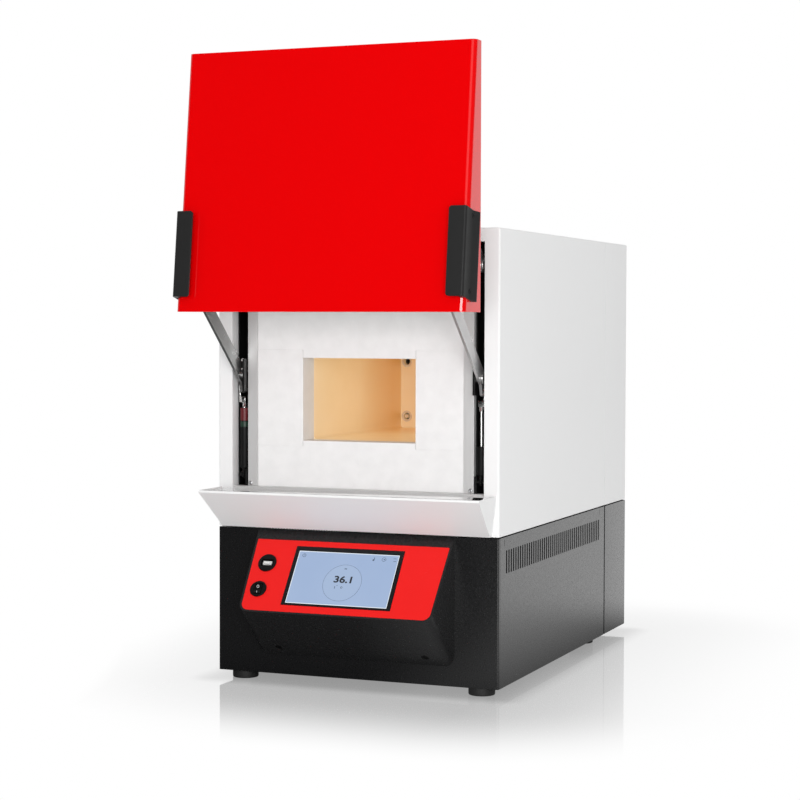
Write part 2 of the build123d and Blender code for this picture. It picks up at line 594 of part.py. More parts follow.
RECESS_GAP = 0.15
pod -= slope_plate(RECESS_GAP, FASCIA_SHEET + 0.02)
pod -= control_windows(20)
POD_SCREW_X = 113.5
POD_SCREW_Y = -14.0
POD_SCREW_RECESS = 5.6
POD_SCREW_HEAD = 4.6
POD_SCREW_SHANK = 2.0
UNDER_SLANT = atan2(nose[1] - POD_FOOT, -nose[0])
under_plane = Plane(
    origin=(0, POD_SCREW_Y, POD_FOOT - POD_SCREW_Y * tan(UNDER_SLANT)),
    x_dir=(1, 0, 0),
    z_dir=(0, -sin(UNDER_SLANT), -cos(UNDER_SLANT)),
)
pod_screws = []
for side in (-1, 1):
    place = under_plane.location * Pos(side * POD_SCREW_X, 0, 0)
    pod -= place * Cylinder(POD_SCREW_RECESS, 3.0)
    pod -= place * Cylinder(POD_SCREW_SHANK + SCREW_CLEAR, 14.0)
    head = place * Pos(0, 0, -1.0) * Cylinder(POD_SCREW_HEAD, 1.0)
    pod_screws.append(head + place * Pos(0, 0, -5.5) * Cylinder(POD_SCREW_SHANK, 8.0))
save("pod_housing", pod)
save("pod_screws", Compound(children=pod_screws))

save("fascia", slope_plate(0, FASCIA_SHEET) - control_windows(5))

# Display: black frame, touch glass, module behind it
GLASS_SHEET = 3.0
MODULE_DEPTH = 9.0
bezel = slope_window(DISPLAY_WIDTH, DISPLAY_HEIGHT, DISPLAY_Y, 0.2, GLASS_SHEET, 0.6)
bezel -= slope_window(SCREEN_WIDTH, SCREEN_HEIGHT, SCREEN_Y, 0, 5, 5)
save("display_bezel", bezel)
save("display_glass", slope_window(SCREEN_WIDTH, SCREEN_HEIGHT, SCREEN_Y, 0.1, GLASS_SHEET, 0))
module_front = GLASS_SHEET + 0.2
module_back = module_front + MODULE_DEPTH
module = slope_window(DISPLAY_WIDTH, DISPLAY_HEIGHT, DISPLAY_Y, 2.5, module_back, -module_front)
save("display_module", module)

# Data socket: round black bezel with a metal shell in its slot


def socket_box(half_x, half_y, below, above):
    """A box centred on the data socket."""
    return fascia_box(USB_X - half_x, USB_X + half_x, USB_Y - half_y, USB_Y + half_y, below, above)


socket = fascia_disc(USB_RADIUS, USB_X, USB_Y, 0, 1.8)
socket = fillet(socket.edges().filter_by(GeomType.CIRCLE).sort_by(Axis.Z)[-1:], 0.8)
socket += fascia_disc(BARREL_RADIUS, USB_X, USB_Y, 16, 0)
socket -= socket_box(9.0, 5.2, 1.0, 3)
socket -= socket_box(6.7, 2.8, 13, 3)
save("data_socket", socket)
shell = socket_box(6.6, 2.7, 12.9, 0.4) - socket_box(6.2, 2.3, 12.4, 3)
shell += fascia_box(USB_X - 5.6, USB_X + 5.6, USB_Y + 0.3, USB_Y + 1.9, 12.9, -1.5)
save("data_socket_shell", shell)

# Power switch: round body and a rocker that tilts in it about an axis across the sloping face
ROCKER_HALF_X = 5.6
ROCKER_HALF_Y = 7.0
ROCKER_GAP = 0.4
ROCKER_TILT = 8.0
ROCKER_AXIS_DEPTH = 4.0
WELL_HALF_X = ROCKER_HALF_X + ROCKER_GAP
WELL_HALF_Y = 8.2
WELL_DEPTH = 12.0
switch = fascia_disc(SWITCH_RADIUS, SWITCH_X, SWITCH_Y, 0, 2.0)
switch = fillet(switch.edges().filter_by(GeomType.CIRCLE).sort_by(Axis.Z)[-1:], 0.9)
switch += fascia_disc(BARREL_RADIUS, SWITCH_X, SWITCH_Y, 18, 0)
switch_place = face_plane.location * Pos(SWITCH_X, SWITCH_Y, 0)
well = Box(2 * WELL_HALF_X, 2 * WELL_HALF_Y, 3 + WELL_DEPTH)
switch -= switch_place * Pos(0, 0, (3 - WELL_DEPTH) / 2) * well
PIVOT_RADIUS = 1.5
rocker_place = switch_place * Pos(0, 0, -ROCKER_AXIS_DEPTH)
switch -= rocker_place * Rot(0, 90, 0) * Cylinder(PIVOT_RADIUS + RUNNING_GAP, 2 * WELL_HALF_X + 2.4)
save("switch_body", switch)

# The rocker's outline in its own Y-Z plane: a shallow dished top on a tapering foot
ROCKER_TOP = 8.4
ROCKER_DISH = 1.8
left_top = (-ROCKER_HALF_Y, ROCKER_TOP)
right_top = (ROCKER_HALF_Y, ROCKER_TOP)
dish = ThreePointArc(left_top, (0, ROCKER_TOP - ROCKER_DISH), right_top)
foot = Polyline(right_top, (ROCKER_HALF_Y, 2.0), (2.0, -4.5), (-2.0, -4.5), (-ROCKER_HALF_Y, 2.0), left_top)
rocker_face = Plane.YZ * make_face([dish, foot])
rocker_blank = extrude(rocker_face, ROCKER_HALF_X, both=True)
rocker_blank += Rot(0, 90, 0) * Cylinder(PIVOT_RADIUS, 2 * WELL_HALF_X + 2)
save("switch_rocker", rocker_place * Rot(ROCKER_TILT, 0, 0) * rocker_blank)

# Electrical parts in the base: a board behind the display, the rest standing on the pan
PAN_FLOOR = FOOT_HEIGHT + SHEET
UNIT_TOP = 62.0
BOARD_FACE = 14.0
BOARD_REAR = BOARD_FACE + 1.6
board = block(-95, 95, BOARD_FACE, BOARD_REAR, 66, 204)
board += block(-80, -40, BOARD_REAR, BOARD_REAR + 14.4, 80, 110)
board += block(-20, 30, BOARD_REAR, BOARD_REAR + 8.4, 90, 130)
board += block(45, 85, BOARD_REAR, BOARD_REAR + 18.4, 150, 190)
save("controller_board", board)
save("power_supply", block(-190, -90, 90, 250, PAN_FLOOR, UNIT_TOP))

FIN_COUNT = 10
FIN_PITCH = 14.0
FIN_SHEET = 3.0
SINK_LEFT = 60.0
SINK_RIGHT = 190.0
SINK_DEPTHS = (120.0, 230.0)
SINK_PLATE_TOP = 24.0
sink = block(SINK_LEFT, SINK_RIGHT, *SINK_DEPTHS, PAN_FLOOR, SINK_PLATE_TOP)
fin_places = [SINK_LEFT + i * FIN_PITCH for i in range(FIN_COUNT)]
sink += [block(x, x + FIN_SHEET, *SINK_DEPTHS, SINK_PLATE_TOP, UNIT_TOP) for x in fin_places]
save("heat_sink", sink)
save("solid_state_relay", block(98, 152, 232, 276, PAN_FLOOR, UNIT_TOP))

# Door, built where it stands when raised
BACK = DOOR_OPEN_BACK
LOW = DOOR_OPEN_BOTTOM
DOOR_HALF = DOOR_WIDTH / 2
DOOR_BEND = 8.0


def door_front(height, inset=0.0):
    """Y of the sloping face at a height above the door's lower edge, drawn in by an inset."""
    thickness = DOOR_THICK_BOTTOM - (DOOR_THICK_BOTTOM - DOOR_THICK_TOP) * height / DOOR_HEIGHT
    return BACK - thickness + inset / cos(FACE_TILT)


def door_wedge(half, inset, low, high, back):
    """The wedge between two heights, inset from the face, ending at a plane in the back."""
    front_low = (door_front(low, inset), LOW + low)
    front_high = (door_front(high, inset), LOW + high)
    return profile([(back, LOW + low), front_low, front_high, (back, LOW + high)], -half, half)


def slope_edges(shape, half):
    """The two long edges between the sloping face and the sides."""
    side_edges = [e for e in shape.edges() if abs(abs(e.center().X) - half) < 0.1]
    return [e for e in side_edges if e.length > DOOR_HEIGHT * 0.8 and e.center().Y < BACK - 30]


skin = door_wedge(DOOR_HALF, 0, 0, DOOR_HEIGHT, BACK)
skin = fillet(slope_edges(skin, DOOR_HALF), DOOR_BEND)
lining = door_wedge(DOOR_HALF - SHEET, SHEET, SHEET, DOOR_HEIGHT - SHEET, BACK + 1)
lining = fillet(slope_edges(lining, DOOR_HALF - SHEET), DOOR_BEND - SHEET)
skin -= lining
NOTCH_INNER = 177.0
NOTCH_OUTER = 196.0
NOTCH_DEPTH = 50.0
LIP_INNER = 203.0
LIP_OUTER = DOOR_HALF - 0.5
LIP_LEVELS = (LOW + 0.5, LOW + DOOR_HEIGHT - 0.5)
NOTCH_BOX = (BACK - NOTCH_DEPTH, BACK + 1, LOW - 1, LOW + SHEET + 1)
for side in (-1, 1):
    skin -= block(side * NOTCH_INNER, side * NOTCH_OUTER, *NOTCH_BOX)
    skin += block(side * LIP_INNER, side * LIP_OUTER, BACK - SHEET, BACK, *LIP_LEVELS)
save("door_skin", skin)

PLATE_HALF = 172.0
PLUG_HALF = 152.0
PLUG_LOW = 20.0
PLUG_HIGH = 345.0
PLATE_LEVELS = (LOW + 1.7, LOW + DOOR_HEIGHT - 1.7)
plate = block(-PLATE_HALF, PLATE_HALF, BACK - SHEET, BACK, *PLATE_LEVELS)
window_levels = (LOW + PLUG_LOW - 1, LOW + PLUG_HIGH + 1)
plate -= block(-PLUG_HALF - 1, PLUG_HALF + 1, BACK - 3, BACK + 1, *window_levels)
for side in (-1, 1):
    plate += block(side * PLATE_HALF, side * (PLATE_HALF - SHEET), BACK - 16, BACK, *PLATE_LEVELS)
save("door_back_plate", plate)

PLUG_OUT = 12.0
core = door_wedge(PLATE_HALF - SHEET - 0.5, SHEET + 4, 6, 356, BACK - SHEET - 0.2)
core += block(-PLUG_HALF, PLUG_HALF, BACK - 6, BACK + PLUG_OUT, LOW + PLUG_LOW, LOW + PLUG_HIGH)
save("door_insulation", core)

SEAL_MIDDLE = CHAMBER_MIDDLE - DOOR_SHUT_BOTTOM
SEAL_HALF_X = 118.0
SEAL_HALF_Z = 92.0
SEAL_WIDTH = 14.0
seal_low = LOW + SEAL_MIDDLE - SEAL_HALF_Z
seal_high = LOW + SEAL_MIDDLE + SEAL_HALF_Z
seal_inner = SEAL_HALF_X - SEAL_WIDTH
plug_face = BACK + PLUG_OUT
seal = block(-SEAL_HALF_X, SEAL_HALF_X, plug_face, plug_face + 3.2, seal_low, seal_high)
seal_levels = (seal_low + SEAL_WIDTH, seal_high - SEAL_WIDTH)
seal -= block(-seal_inner, seal_inner, plug_face - 1, plug_face + 5, *seal_levels)
save("door_seal", seal)

# Handles on the door's lower front corners, one section carried down the sloping face: a grip
# plate ahead of the face, a wall along the door's side and a flare behind it for the fingertips
HANDLE_INNER = 190.7
HANDLE_OUTER = 215.7
HANDLE_PLATE = 3.5
HANDLE_ROOT = 208.0
HANDLE_BEND = 3.7
HANDLE_CORNER = 4.0
HANDLE_GAP = 0.15
FLARE_FRONT = (217.0, -14.0)
FLARE_REAR = (222.8, -22.0)
HANDLE_REAR = -25.0


def handle_section():
    """The handle's outline on its end: across the door and ahead of the sloping face."""
    plate_rear = HANDLE_REACH - HANDLE_PLATE
    wall_inner = DOOR_HALF + HANDLE_GAP
    front_corner = (HANDLE_OUTER, HANDLE_REACH)
    grip = [(HANDLE_ROOT, plate_rear), (HANDLE_INNER, plate_rear), (HANDLE_INNER, HANDLE_REACH)]
    rear = [FLARE_FRONT, FLARE_REAR, (FLARE_REAR[0], HANDLE_REAR), (wall_inner, HANDLE_REAR)]
    root = [(wall_inner, HANDLE_GAP), (HANDLE_ROOT, HANDLE_GAP)]
    outline = Polygon(*grip, front_corner, *rear, *root, align=None)
    return fillet(outline.vertices().sort_by_distance(front_corner)[0], HANDLE_BEND)


top_corner = (BACK - DOOR_THICK_TOP, LOW + DOOR_HEIGHT)
face_down = (0, -sin(FACE_TILT), -cos(FACE_TILT))
end_origin = (0, *[corner + HANDLE_START * step for corner, step in zip(top_corner, face_down[1:])])
end_plane = Plane(origin=end_origin, x_dir=(1, 0, 0), z_dir=(0, -sin(END_ANGLE), -cos(END_ANGLE)))
handle = extrude(end_plane.location * handle_section(), HANDLE_LENGTH, dir=face_down)
inner_edges = [e for e in handle.edges() if abs(e.center().X - HANDLE_INNER) < 0.1]
handle = fillet([e for e in inner_edges if e.length < 2 * HANDLE_PLATE], HANDLE_CORNER)
save("handle_right", handle)
save("handle_left", other_side(handle))

# Parallel linkage: brackets in the slots and in the door, two lower and two upper arms
BRACKET_FACE = 180.0
BRACKET_ROOT = CHANNEL_INNER + CHANNEL_WALL
BRACKET_HALF = 24.0
BRACKET_BACK = CHANNEL_BACK - 2
SHOULDER_RADIUS = 7.5
HEAD_RADIUS = 8.0
ARM_CLEAR = 0.3
pivot_levels = (LOWER_PIVOT_Z, UPPER_PIVOT_Z)
lows = [z - BRACKET_HALF for z in pivot_levels]
brackets = [block(BRACKET_ROOT, BRACKET_FACE, 2, BRACKET_BACK, low, low + 2 * BRACKET_HALF) for low in lows]
brackets += [other_side(bracket) for bracket in brackets]
save("pivot_brackets", Compound(children=brackets))


def pivot_pin(root, tip, y, z):
    """A shouldered pin through an arm with a flat head beyond it, between two planes across X."""
    outward = 1 if tip > root else -1
    near, far = (ARM_INNER, ARM_OUTER) if outward > 0 else (ARM_OUTER, ARM_INNER)
    pin = bar_x(PIN_RADIUS, root, tip, y, z)
    pin += bar_x(SHOULDER_RADIUS, root, near - outward * ARM_CLEAR, y, z)
    return pin + bar_x(HEAD_RADIUS, far + outward * ARM_CLEAR, tip, y, z)


casing_pins = [pivot_pin(BRACKET_FACE, ARM_OUTER + 2.4, ARM_PIVOT_Y, z) for z in pivot_levels]
casing_pins += [other_side(pin) for pin in casing_pins]
save("pivot_pins", Compound(children=casing_pins))

DOOR_WEB = 199.0
WEB_EDGE = DOOR_HALF - SHEET - 0.1
WEB_FRONT = BACK - 38
WEB_BACK = BACK - 8
WEB_LEVELS = (LOW + 2, LOW + 186)
door_bracket = block(DOOR_WEB, DOOR_WEB + 2, WEB_FRONT, WEB_BACK, *WEB_LEVELS)
door_bracket += block(DOOR_WEB, WEB_EDGE, WEB_BACK - 2, WEB_BACK, *WEB_LEVELS)
door_bracket += block(DOOR_WEB, WEB_EDGE, WEB_FRONT, WEB_FRONT + 2, LOW + 2, LOW + 150)
save("door_brackets", both(door_bracket))
door_pin_levels = (LOWER_DOOR_PIN_Z, UPPER_DOOR_PIN_Z)
door_pins = [pivot_pin(DOOR_WEB, ARM_INNER - 2.4, DOOR_PIN_Y, z) for z in door_pin_levels]
door_pins += [other_side(pin) for pin in door_pins]
save("door_pins", Compound(children=door_pins))

# Crank on each lower arm, which its pull strut holds down
CRANK_LENGTH = 19.6
CRANK_ANGLE = -75.3
CRANK_Y = ARM_PIVOT_Y + CRANK_LENGTH * cos(radians(CRANK_ANGLE))
CRANK_Z = LOWER_PIVOT_Z + CRANK_LENGTH * sin(radians(CRANK_ANGLE))
CRANK_PIN = 3.0


def flat_bar(y0, z0, y1, z1, width):
    """A round-ended flat bar between two centres, in the arms' plane."""
    length = hypot(y1 - y0, z1 - z0)
    angle = degrees(atan2(z1 - z0, y1 - y0))
    outline = Pos((y0 + y1) / 2, (z0 + z1) / 2) * Rot(0, 0, angle) * SlotCenterToCenter(length, width)
    return extrude(Plane.YZ.offset(ARM_INNER) * outline, amount=ARM_OUTER - ARM_INNER)


def arm(pivot_z, pin_z, far_gap):
    """An arm with its two holes; the far hole has the clearance given."""
    shape = flat_bar(ARM_PIVOT_Y, pivot_z, DOOR_PIN_Y, pin_z, ARM_WIDTH)
    shape -= bar_x(PIN_RADIUS + RUNNING_GAP, ARM_INNER - 1, ARM_OUTER + 1, ARM_PIVOT_Y, pivot_z)
    shape -= bar_x(PIN_RADIUS + far_gap, ARM_INNER - 1, ARM_OUTER + 1, DOOR_PIN_Y, pin_z)
    return shape


lower_arm = arm(LOWER_PIVOT_Z, LOWER_DOOR_PIN_Z, RUNNING_GAP)
crank = flat_bar(ARM_PIVOT_Y, LOWER_PIVOT_Z, CRANK_Y, CRANK_Z, 15)
crank -= bar_x(PIN_RADIUS + RUNNING_GAP, ARM_INNER - 1, ARM_OUTER + 1, ARM_PIVOT_Y, LOWER_PIVOT_Z)
lower_arm += crank
lower_arm += bar_x(CRANK_PIN, ARM_OUTER, ARM_OUTER + 3.2, CRANK_Y, CRANK_Z)
save("lower_arms", both(lower_arm))
OPEN_PIVOT_GAP = 0.3
upper_arm = arm(UPPER_PIVOT_Z, UPPER_DOOR_PIN_Z, OPEN_PIVOT_GAP)
save("upper_arms", both(upper_arm))

# Pull struts in the slots: cylinder, rod and eye, and the anchors that hold them below
STRUT_X = 184.5
STRUT_FOOT = 300.0
CYLINDER_RADIUS = 6.0
ROD_RADIUS = 2.5


def pull_strut(cylinder_top):
    """One strut, its eye round the crank pin and its foot round the anchor pin."""
    depths = (CRANK_Y - 5, CRANK_Y + 5)
    eye = (ARM_OUTER + 0.5, ARM_OUTER + 2.9)
    strut = bar_z(CYLINDER_RADIUS, STRUT_FOOT + 9, cylinder_top, STRUT_X, CRANK_Y)
    strut += bar_z(ROD_RADIUS, cylinder_top, CRANK_Z - 20, STRUT_X, CRANK_Y)
    strut += block(STRUT_X - 3.5, eye[1], *depths, CRANK_Z - 22, CRANK_Z - 11)
    strut += block(*eye, *depths, CRANK_Z - 14, CRANK_Z) + bar_x(6.5, *eye, CRANK_Y, CRANK_Z)
    strut -= bar_x(CRANK_PIN + 0.1, ARM_OUTER - 1, ARM_OUTER + 5, CRANK_Y, CRANK_Z)
    strut += block(STRUT_X - 2, STRUT_X + 2, *depths, STRUT_FOOT - 4, STRUT_FOOT + 9)
    strut += bar_x(6.0, STRUT_X - 2, STRUT_X + 2, CRANK_Y, STRUT_FOOT)
    return strut - bar_x(CRANK_PIN + 0.1, STRUT_X - 5, STRUT_X + 5, CRANK_Y, STRUT_FOOT)


save("pull_strut_left", other_side(pull_strut(398)))
save("pull_strut_right", pull_strut(350))
anchor = block(BRACKET_ROOT, BRACKET_FACE, CRANK_Y - 8, BRACKET_BACK, SILL + 4, STRUT_FOOT + 8)
anchor += bar_x(CRANK_PIN, BRACKET_FACE, CHANNEL_HOLLOW[1] - 0.3, CRANK_Y, STRUT_FOOT)
save("strut_anchors", both(anchor))

# Contactless door switch that sees the crank of the right arm when the door is shut
save("door_switch", block(BRACKET_FACE, CHANNEL_HOLLOW[1], 40, CHANNEL_BACK - CHANNEL_WALL, 476, 512))
print("origin_y", round(ORIGIN_Y, 3), "front reach", round(FRONT_REACH, 3))
print("arm length", round(ARM_LENGTH, 3), "swing", round(ARM_SWING, 3))
print("door pin y", round(DOOR_PIN_Y, 3), "z", round(LOWER_DOOR_PIN_Z, 3))
print("crank", round(CRANK_Y, 3), round(CRANK_Z, 3))
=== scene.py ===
# %% [markdown]
# # Dressing a bench ashing furnace
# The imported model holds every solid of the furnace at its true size, so the shapes are settled. What is
# missing is what the eye believes in: soft sheet-metal edges, paint with a grain, glazed ceramic, screw
# heads, the lit screen. This notebook adds those, one kind of piece at a time, around the fixed solids.

# %% Load the solids and remember how much room they take
import json
from math import atan2, cos, pi, radians, sin

import bmesh
import bpy
import numpy as np
from mathutils import Matrix, Vector

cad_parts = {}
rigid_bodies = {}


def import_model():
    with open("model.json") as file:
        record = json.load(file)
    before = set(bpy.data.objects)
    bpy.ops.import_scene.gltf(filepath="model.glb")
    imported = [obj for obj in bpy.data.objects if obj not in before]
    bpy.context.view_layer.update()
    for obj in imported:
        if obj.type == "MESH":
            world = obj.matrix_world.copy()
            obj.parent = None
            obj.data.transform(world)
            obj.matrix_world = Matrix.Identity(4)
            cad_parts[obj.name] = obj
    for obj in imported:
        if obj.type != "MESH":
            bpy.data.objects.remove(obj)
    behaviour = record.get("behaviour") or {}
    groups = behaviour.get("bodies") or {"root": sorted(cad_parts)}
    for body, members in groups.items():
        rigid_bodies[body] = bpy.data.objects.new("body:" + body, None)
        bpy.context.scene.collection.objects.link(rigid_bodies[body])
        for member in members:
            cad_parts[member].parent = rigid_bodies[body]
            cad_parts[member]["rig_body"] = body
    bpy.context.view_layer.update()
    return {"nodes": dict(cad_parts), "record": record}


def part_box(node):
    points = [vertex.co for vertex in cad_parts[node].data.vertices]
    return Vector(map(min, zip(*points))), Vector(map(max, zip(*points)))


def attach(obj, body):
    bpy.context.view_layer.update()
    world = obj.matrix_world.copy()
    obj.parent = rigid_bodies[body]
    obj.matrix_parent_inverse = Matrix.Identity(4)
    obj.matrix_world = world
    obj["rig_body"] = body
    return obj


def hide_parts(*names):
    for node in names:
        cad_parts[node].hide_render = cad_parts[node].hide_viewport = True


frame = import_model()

FRONT_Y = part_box("casing_shell")[0].y
print("front of the casing at y", round(FRONT_Y, 4), "and", len(frame["nodes"]), "solids")

# %% [markdown]
# Drawings of such a furnace are in millimetres, measured back from the casing's front and up from the
# bench, and the scene is in metres. One small function turns the first into the second, so the numbers
# below can be read against a drawing.

# %% Millimetres on the drawing to metres in the scene
WIDTH, DEPTH = 435.0, 660.0
SIDES = (-1, 1)
UP, DOWN = (0, 0, 1), (0, 0, -1)
FORWARD, BACKWARD = (0, -1, 0), (0, 1, 0)


def place(x, y, z):
    """Points in metres: x across, y behind the casing's front, z above the bench, all given in mm."""
    points = np.stack(np.broadcast_arrays(x, y, z), axis=-1).astype(float) / 1000
    points[..., 1] += FRONT_Y
    return points


def placed(points):
    """The same for a grid of points in mm."""
    return place(*np.moveaxis(points, -1, 0))


print("back of the casing at", place(0, DEPTH, 0).round(4))

# %% [markdown]
# ## The camera
# The photograph was taken from the right with a long lens, a little above the middle of the furnace.
# Fitting a pinhole camera to thirty straight edges of the object gave the eye point, three angles and
# the focal length below. With the lens in pixels of an 800 pixel frame, a 36 mm sensor makes it 88 mm.

# %% The camera at the photograph's viewing angle
EYE = place(1100.1, -2573.6, 523.9)
YAW, PITCH, ROLL = radians(21.834), radians(-2.27), radians(0.131)
FOCAL_PIXELS = 1964.3
PICTURE_SIDE = 800
SENSOR = 36.0


def camera_axes(yaw, pitch, roll):
    """Unit vectors to the right of, above and behind the lens, from turns about Z, across and along it."""
    forward = np.array([-sin(yaw) * cos(pitch), cos(yaw) * cos(pitch), sin(pitch)])
    level = np.array([cos(yaw), sin(yaw), 0.0])
    down = np.cross(forward, level)
    right = cos(roll) * level - sin(roll) * down
    down = sin(roll) * level + cos(roll) * down
    return np.column_stack([right, -down, -forward])


lens = bpy.data.cameras.new("portrait_lens")
lens.sensor_width = SENSOR
lens.lens = FOCAL_PIXELS / PICTURE_SIDE * SENSOR
lens.clip_end = 100.0
camera = bpy.data.objects.new("portrait_camera", lens)
facing = Matrix(camera_axes(YAW, PITCH, ROLL).tolist()).to_4x4()
camera.matrix_world = Matrix.Translation(EYE.tolist()) @ facing
bpy.context.scene.collection.objects.link(camera)
bpy.context.scene.camera = camera
bpy.context.scene.view_settings.view_transform = "Standard"
print("lens", round(lens.lens, 1), "mm")

# %% [markdown]
# ## Node helpers
# A procedural material is a short chain: where am I on the object, what does the pattern say there, and
# which colour, roughness or height does that stand for. Object coordinates are metres on the furnace
# itself, so a pattern keeps its real size and stays put when a part moves. A value that is the same all
# over is written on the shader's own socket.

# %% A finish, and nodes joined to it
FINISHES = {}
WHITE = (1, 1, 1, 1)


def finish(name, color, roughness, metallic=0.0, **sockets):
    """A new material with one Principled shader, kept under its name; other inputs are given by name."""
    material = bpy.data.materials.new(name)
    material.use_nodes = True
    shader = material.node_tree.nodes["Principled BSDF"]
    shader.inputs["Base Color"].default_value = (*color, 1.0)
    shader.inputs["Roughness"].default_value = roughness
    shader.inputs["Metallic"].default_value = metallic
    for socket, value in sockets.items():
        shader.inputs[socket.replace("_", " ")].default_value = value
    FINISHES[name] = material
    return material


def node(owner, kind, settings=(), **inputs):
    """Adds a shader node; an input is a value or another node's output, _0 and _1 name it by number."""
    made = owner.node_tree.nodes.new("ShaderNode" + kind)
    for setting, value in dict(settings).items():
        setattr(made, setting, value)
    for name, value in inputs.items():
        socket = made.inputs[int(name[1:])] if name[0] == "_" else made.inputs[name.replace("_", " ")]
        if isinstance(value, bpy.types.NodeSocket):
            owner.node_tree.links.new(value, socket)
        else:
            socket.default_value = value
    return made


def to_shader(material, socket, output):
    """Joins an output to the material's Principled shader."""
    shader = material.node_tree.nodes["Principled BSDF"]
    material.node_tree.links.new(output, shader.inputs[socket])


# %% Arithmetic on values, vectors, colours and rays
def arithmetic(owner, operation, first, second):
    """One step of arithmetic on two values."""
    return node(owner, "Math", {"operation": operation}, _0=first, _1=second).outputs[0]


def product(owner, first, second):
    """Two values multiplied."""
    return arithmetic(owner, "MULTIPLY", first, second)


def vector_step(owner, operation, *vectors):
    """One step of vector arithmetic: a vector, or a number for a length or a dot product."""
    inputs = {f"_{number}": vector for number, vector in enumerate(vectors)}
    made = node(owner, "VectorMath", {"operation": operation}, **inputs)
    return made.outputs["Value" if operation in ("LENGTH", "DOT_PRODUCT") else "Vector"]


def remap(owner, value, from_low, from_high, low, high, soft=False):
    """Carries one range of a value to another, clamped; a soft one eases in and out."""
    way = {"interpolation_type": "SMOOTHSTEP" if soft else "LINEAR"}
    limits = {"_1": from_low, "_2": from_high, "_3": low, "_4": high}
    return node(owner, "MapRange", way, Value=value, **limits).outputs["Result"]


def blend_colors(owner, factor, *colors):
    """The first colour where the factor is 0, the second where it is 1."""
    first, second = (c if isinstance(c, bpy.types.NodeSocket) else (*c, 1.0) for c in colors)
    return node(owner, "Mix", {"data_type": "RGBA"}, Factor=factor, _6=first, _7=second).outputs[2]


def blend_shaders(owner, factor, first, second):
    """The first shader where the factor is 0, the second where it is 1."""
    return node(owner, "MixShader", _0=factor, _1=first, _2=second).outputs[0]


def any_ray(owner, *kinds):
    """1 for rays of any of the named kinds, such as Camera or Glossy."""
    rays = node(owner, "LightPath")
    flag = rays.outputs[f"Is {kinds[0]} Ray"]
    for kind in kinds[1:]:
        flag = arithmetic(owner, "MAXIMUM", flag, rays.outputs[f"Is {kind} Ray"])
    return flag


# %% Patterns on the furnace
def position(material, scale=(1, 1, 1)):
    """The point on the object in metres, stretched for a pattern with a grain."""
    where = node(material, "TexCoord").outputs["Object"]
    return node(material, "Mapping", Vector=where, Scale=scale).outputs["Vector"]


def along_axis(material, axis):
    """One coordinate of the point on the object, in metres."""
    return node(material, "SeparateXYZ", Vector=position(material)).outputs[axis]


def noise(material, scale, detail=2.0, stretch=(1, 1, 1)):
    """Soft noise, 0 to 1, with about scale features per metre."""
    where = position(material, stretch)
    return node(material, "TexNoise", Vector=where, Scale=scale, Detail=detail).outputs["Fac"]


def tinted(material, value, first, second, low=0.3, high=0.7):
    """Base colour between two tones by a pattern."""
    tone = remap(material, value, low, high, 0, 1)
    to_shader(material, "Base Color", blend_colors(material, tone, first, second))


def uneven(material, scale, low, high, detail=2):
    """Roughness between two values by noise of scale features per metre."""
    tone = remap(material, noise(material, scale, detail), 0.25, 0.75, low, high)
    to_shader(material, "Roughness", tone)


def raised(material, height, depth, strength=1.0):
    """Bump from a height pattern, depth in metres."""
    made = node(material, "Bump", Height=height, Distance=depth, Strength=strength)
    to_shader(material, "Normal", made.outputs["Normal"])


# %% [markdown]
# ## Stage and light
# The portrait was taken in a white studio: a pale glossy floor that mirrors the base for a hand's
# breadth and then runs out into white, soft light from all sides, a little more from the right, and a
# wide low softbox to the right of the camera. The streak down the door's right bend is its mirror
# image, which gives its place.
# Paint and steel also mirror the room. It was dark left of the camera, as the flat red and black fronts
# show, and far to the right. So mirroring surfaces meet a room with two dark parts, and only the camera
# sees a white background. The light itself is at a plain level, and paints keep their own colours.

# %% The light of the white room
LEVEL_HORIZON, LEVEL_ABOVE = 0.97, 0.5
LEVEL_LEFT, LEVEL_RIGHT = 0.92, 1.14
world = bpy.data.worlds.new("white_studio")
bpy.context.scene.world = world
world.use_nodes = True
sky = world.node_tree
sky_light = sky.nodes["Background"]
sky_light.inputs["Color"].default_value = WHITE
ray_way = node(world, "TexCoord").outputs["Generated"]
way_parts = node(world, "SeparateXYZ", Vector=ray_way).outputs
by_height = remap(world, way_parts["Z"], 0.0, 1.0, LEVEL_HORIZON, LEVEL_ABOVE)
by_side = remap(world, way_parts["X"], -1.0, 1.0, LEVEL_LEFT, LEVEL_RIGHT)
sky.links.new(product(world, by_height, by_side), sky_light.inputs["Strength"])
print("room light", LEVEL_HORIZON, "at the horizon and", LEVEL_ABOVE, "above")

# %% The room as mirrors and the camera see it
MIRRORED_FRONT, MIRRORED_BEHIND = 0.5, 0.85
BEHIND_EDGE = (0.2, 0.8)
DARK_LEFT, LEFT_EDGE, LEFT_LEVEL = (-0.57, -0.82, 0.05), (0.6, 0.84), 0.02
DARK_RIGHT, RIGHT_EDGE, RIGHT_LEVEL = (0.998, -0.06, 0.0), (0.62, 0.82), 0.1
bright = remap(world, way_parts["Y"], *BEHIND_EDGE, MIRRORED_FRONT, MIRRORED_BEHIND)
toward_left = vector_step(world, "DOT_PRODUCT", ray_way, DARK_LEFT)
toward_right = vector_step(world, "DOT_PRODUCT", ray_way, DARK_RIGHT)
left_shade = remap(world, toward_left, *LEFT_EDGE, 1.0, LEFT_LEVEL)
right_shade = remap(world, toward_right, *RIGHT_EDGE, 1.0, RIGHT_LEVEL)
room_level = product(world, bright, product(world, left_shade, right_shade))
room = node(world, "Background", Color=WHITE, Strength=room_level).outputs[0]
backdrop = node(world, "Background", Color=WHITE, Strength=1.0).outputs[0]
lit = blend_shaders(world, any_ray(world, "Glossy"), sky_light.outputs[0], room)
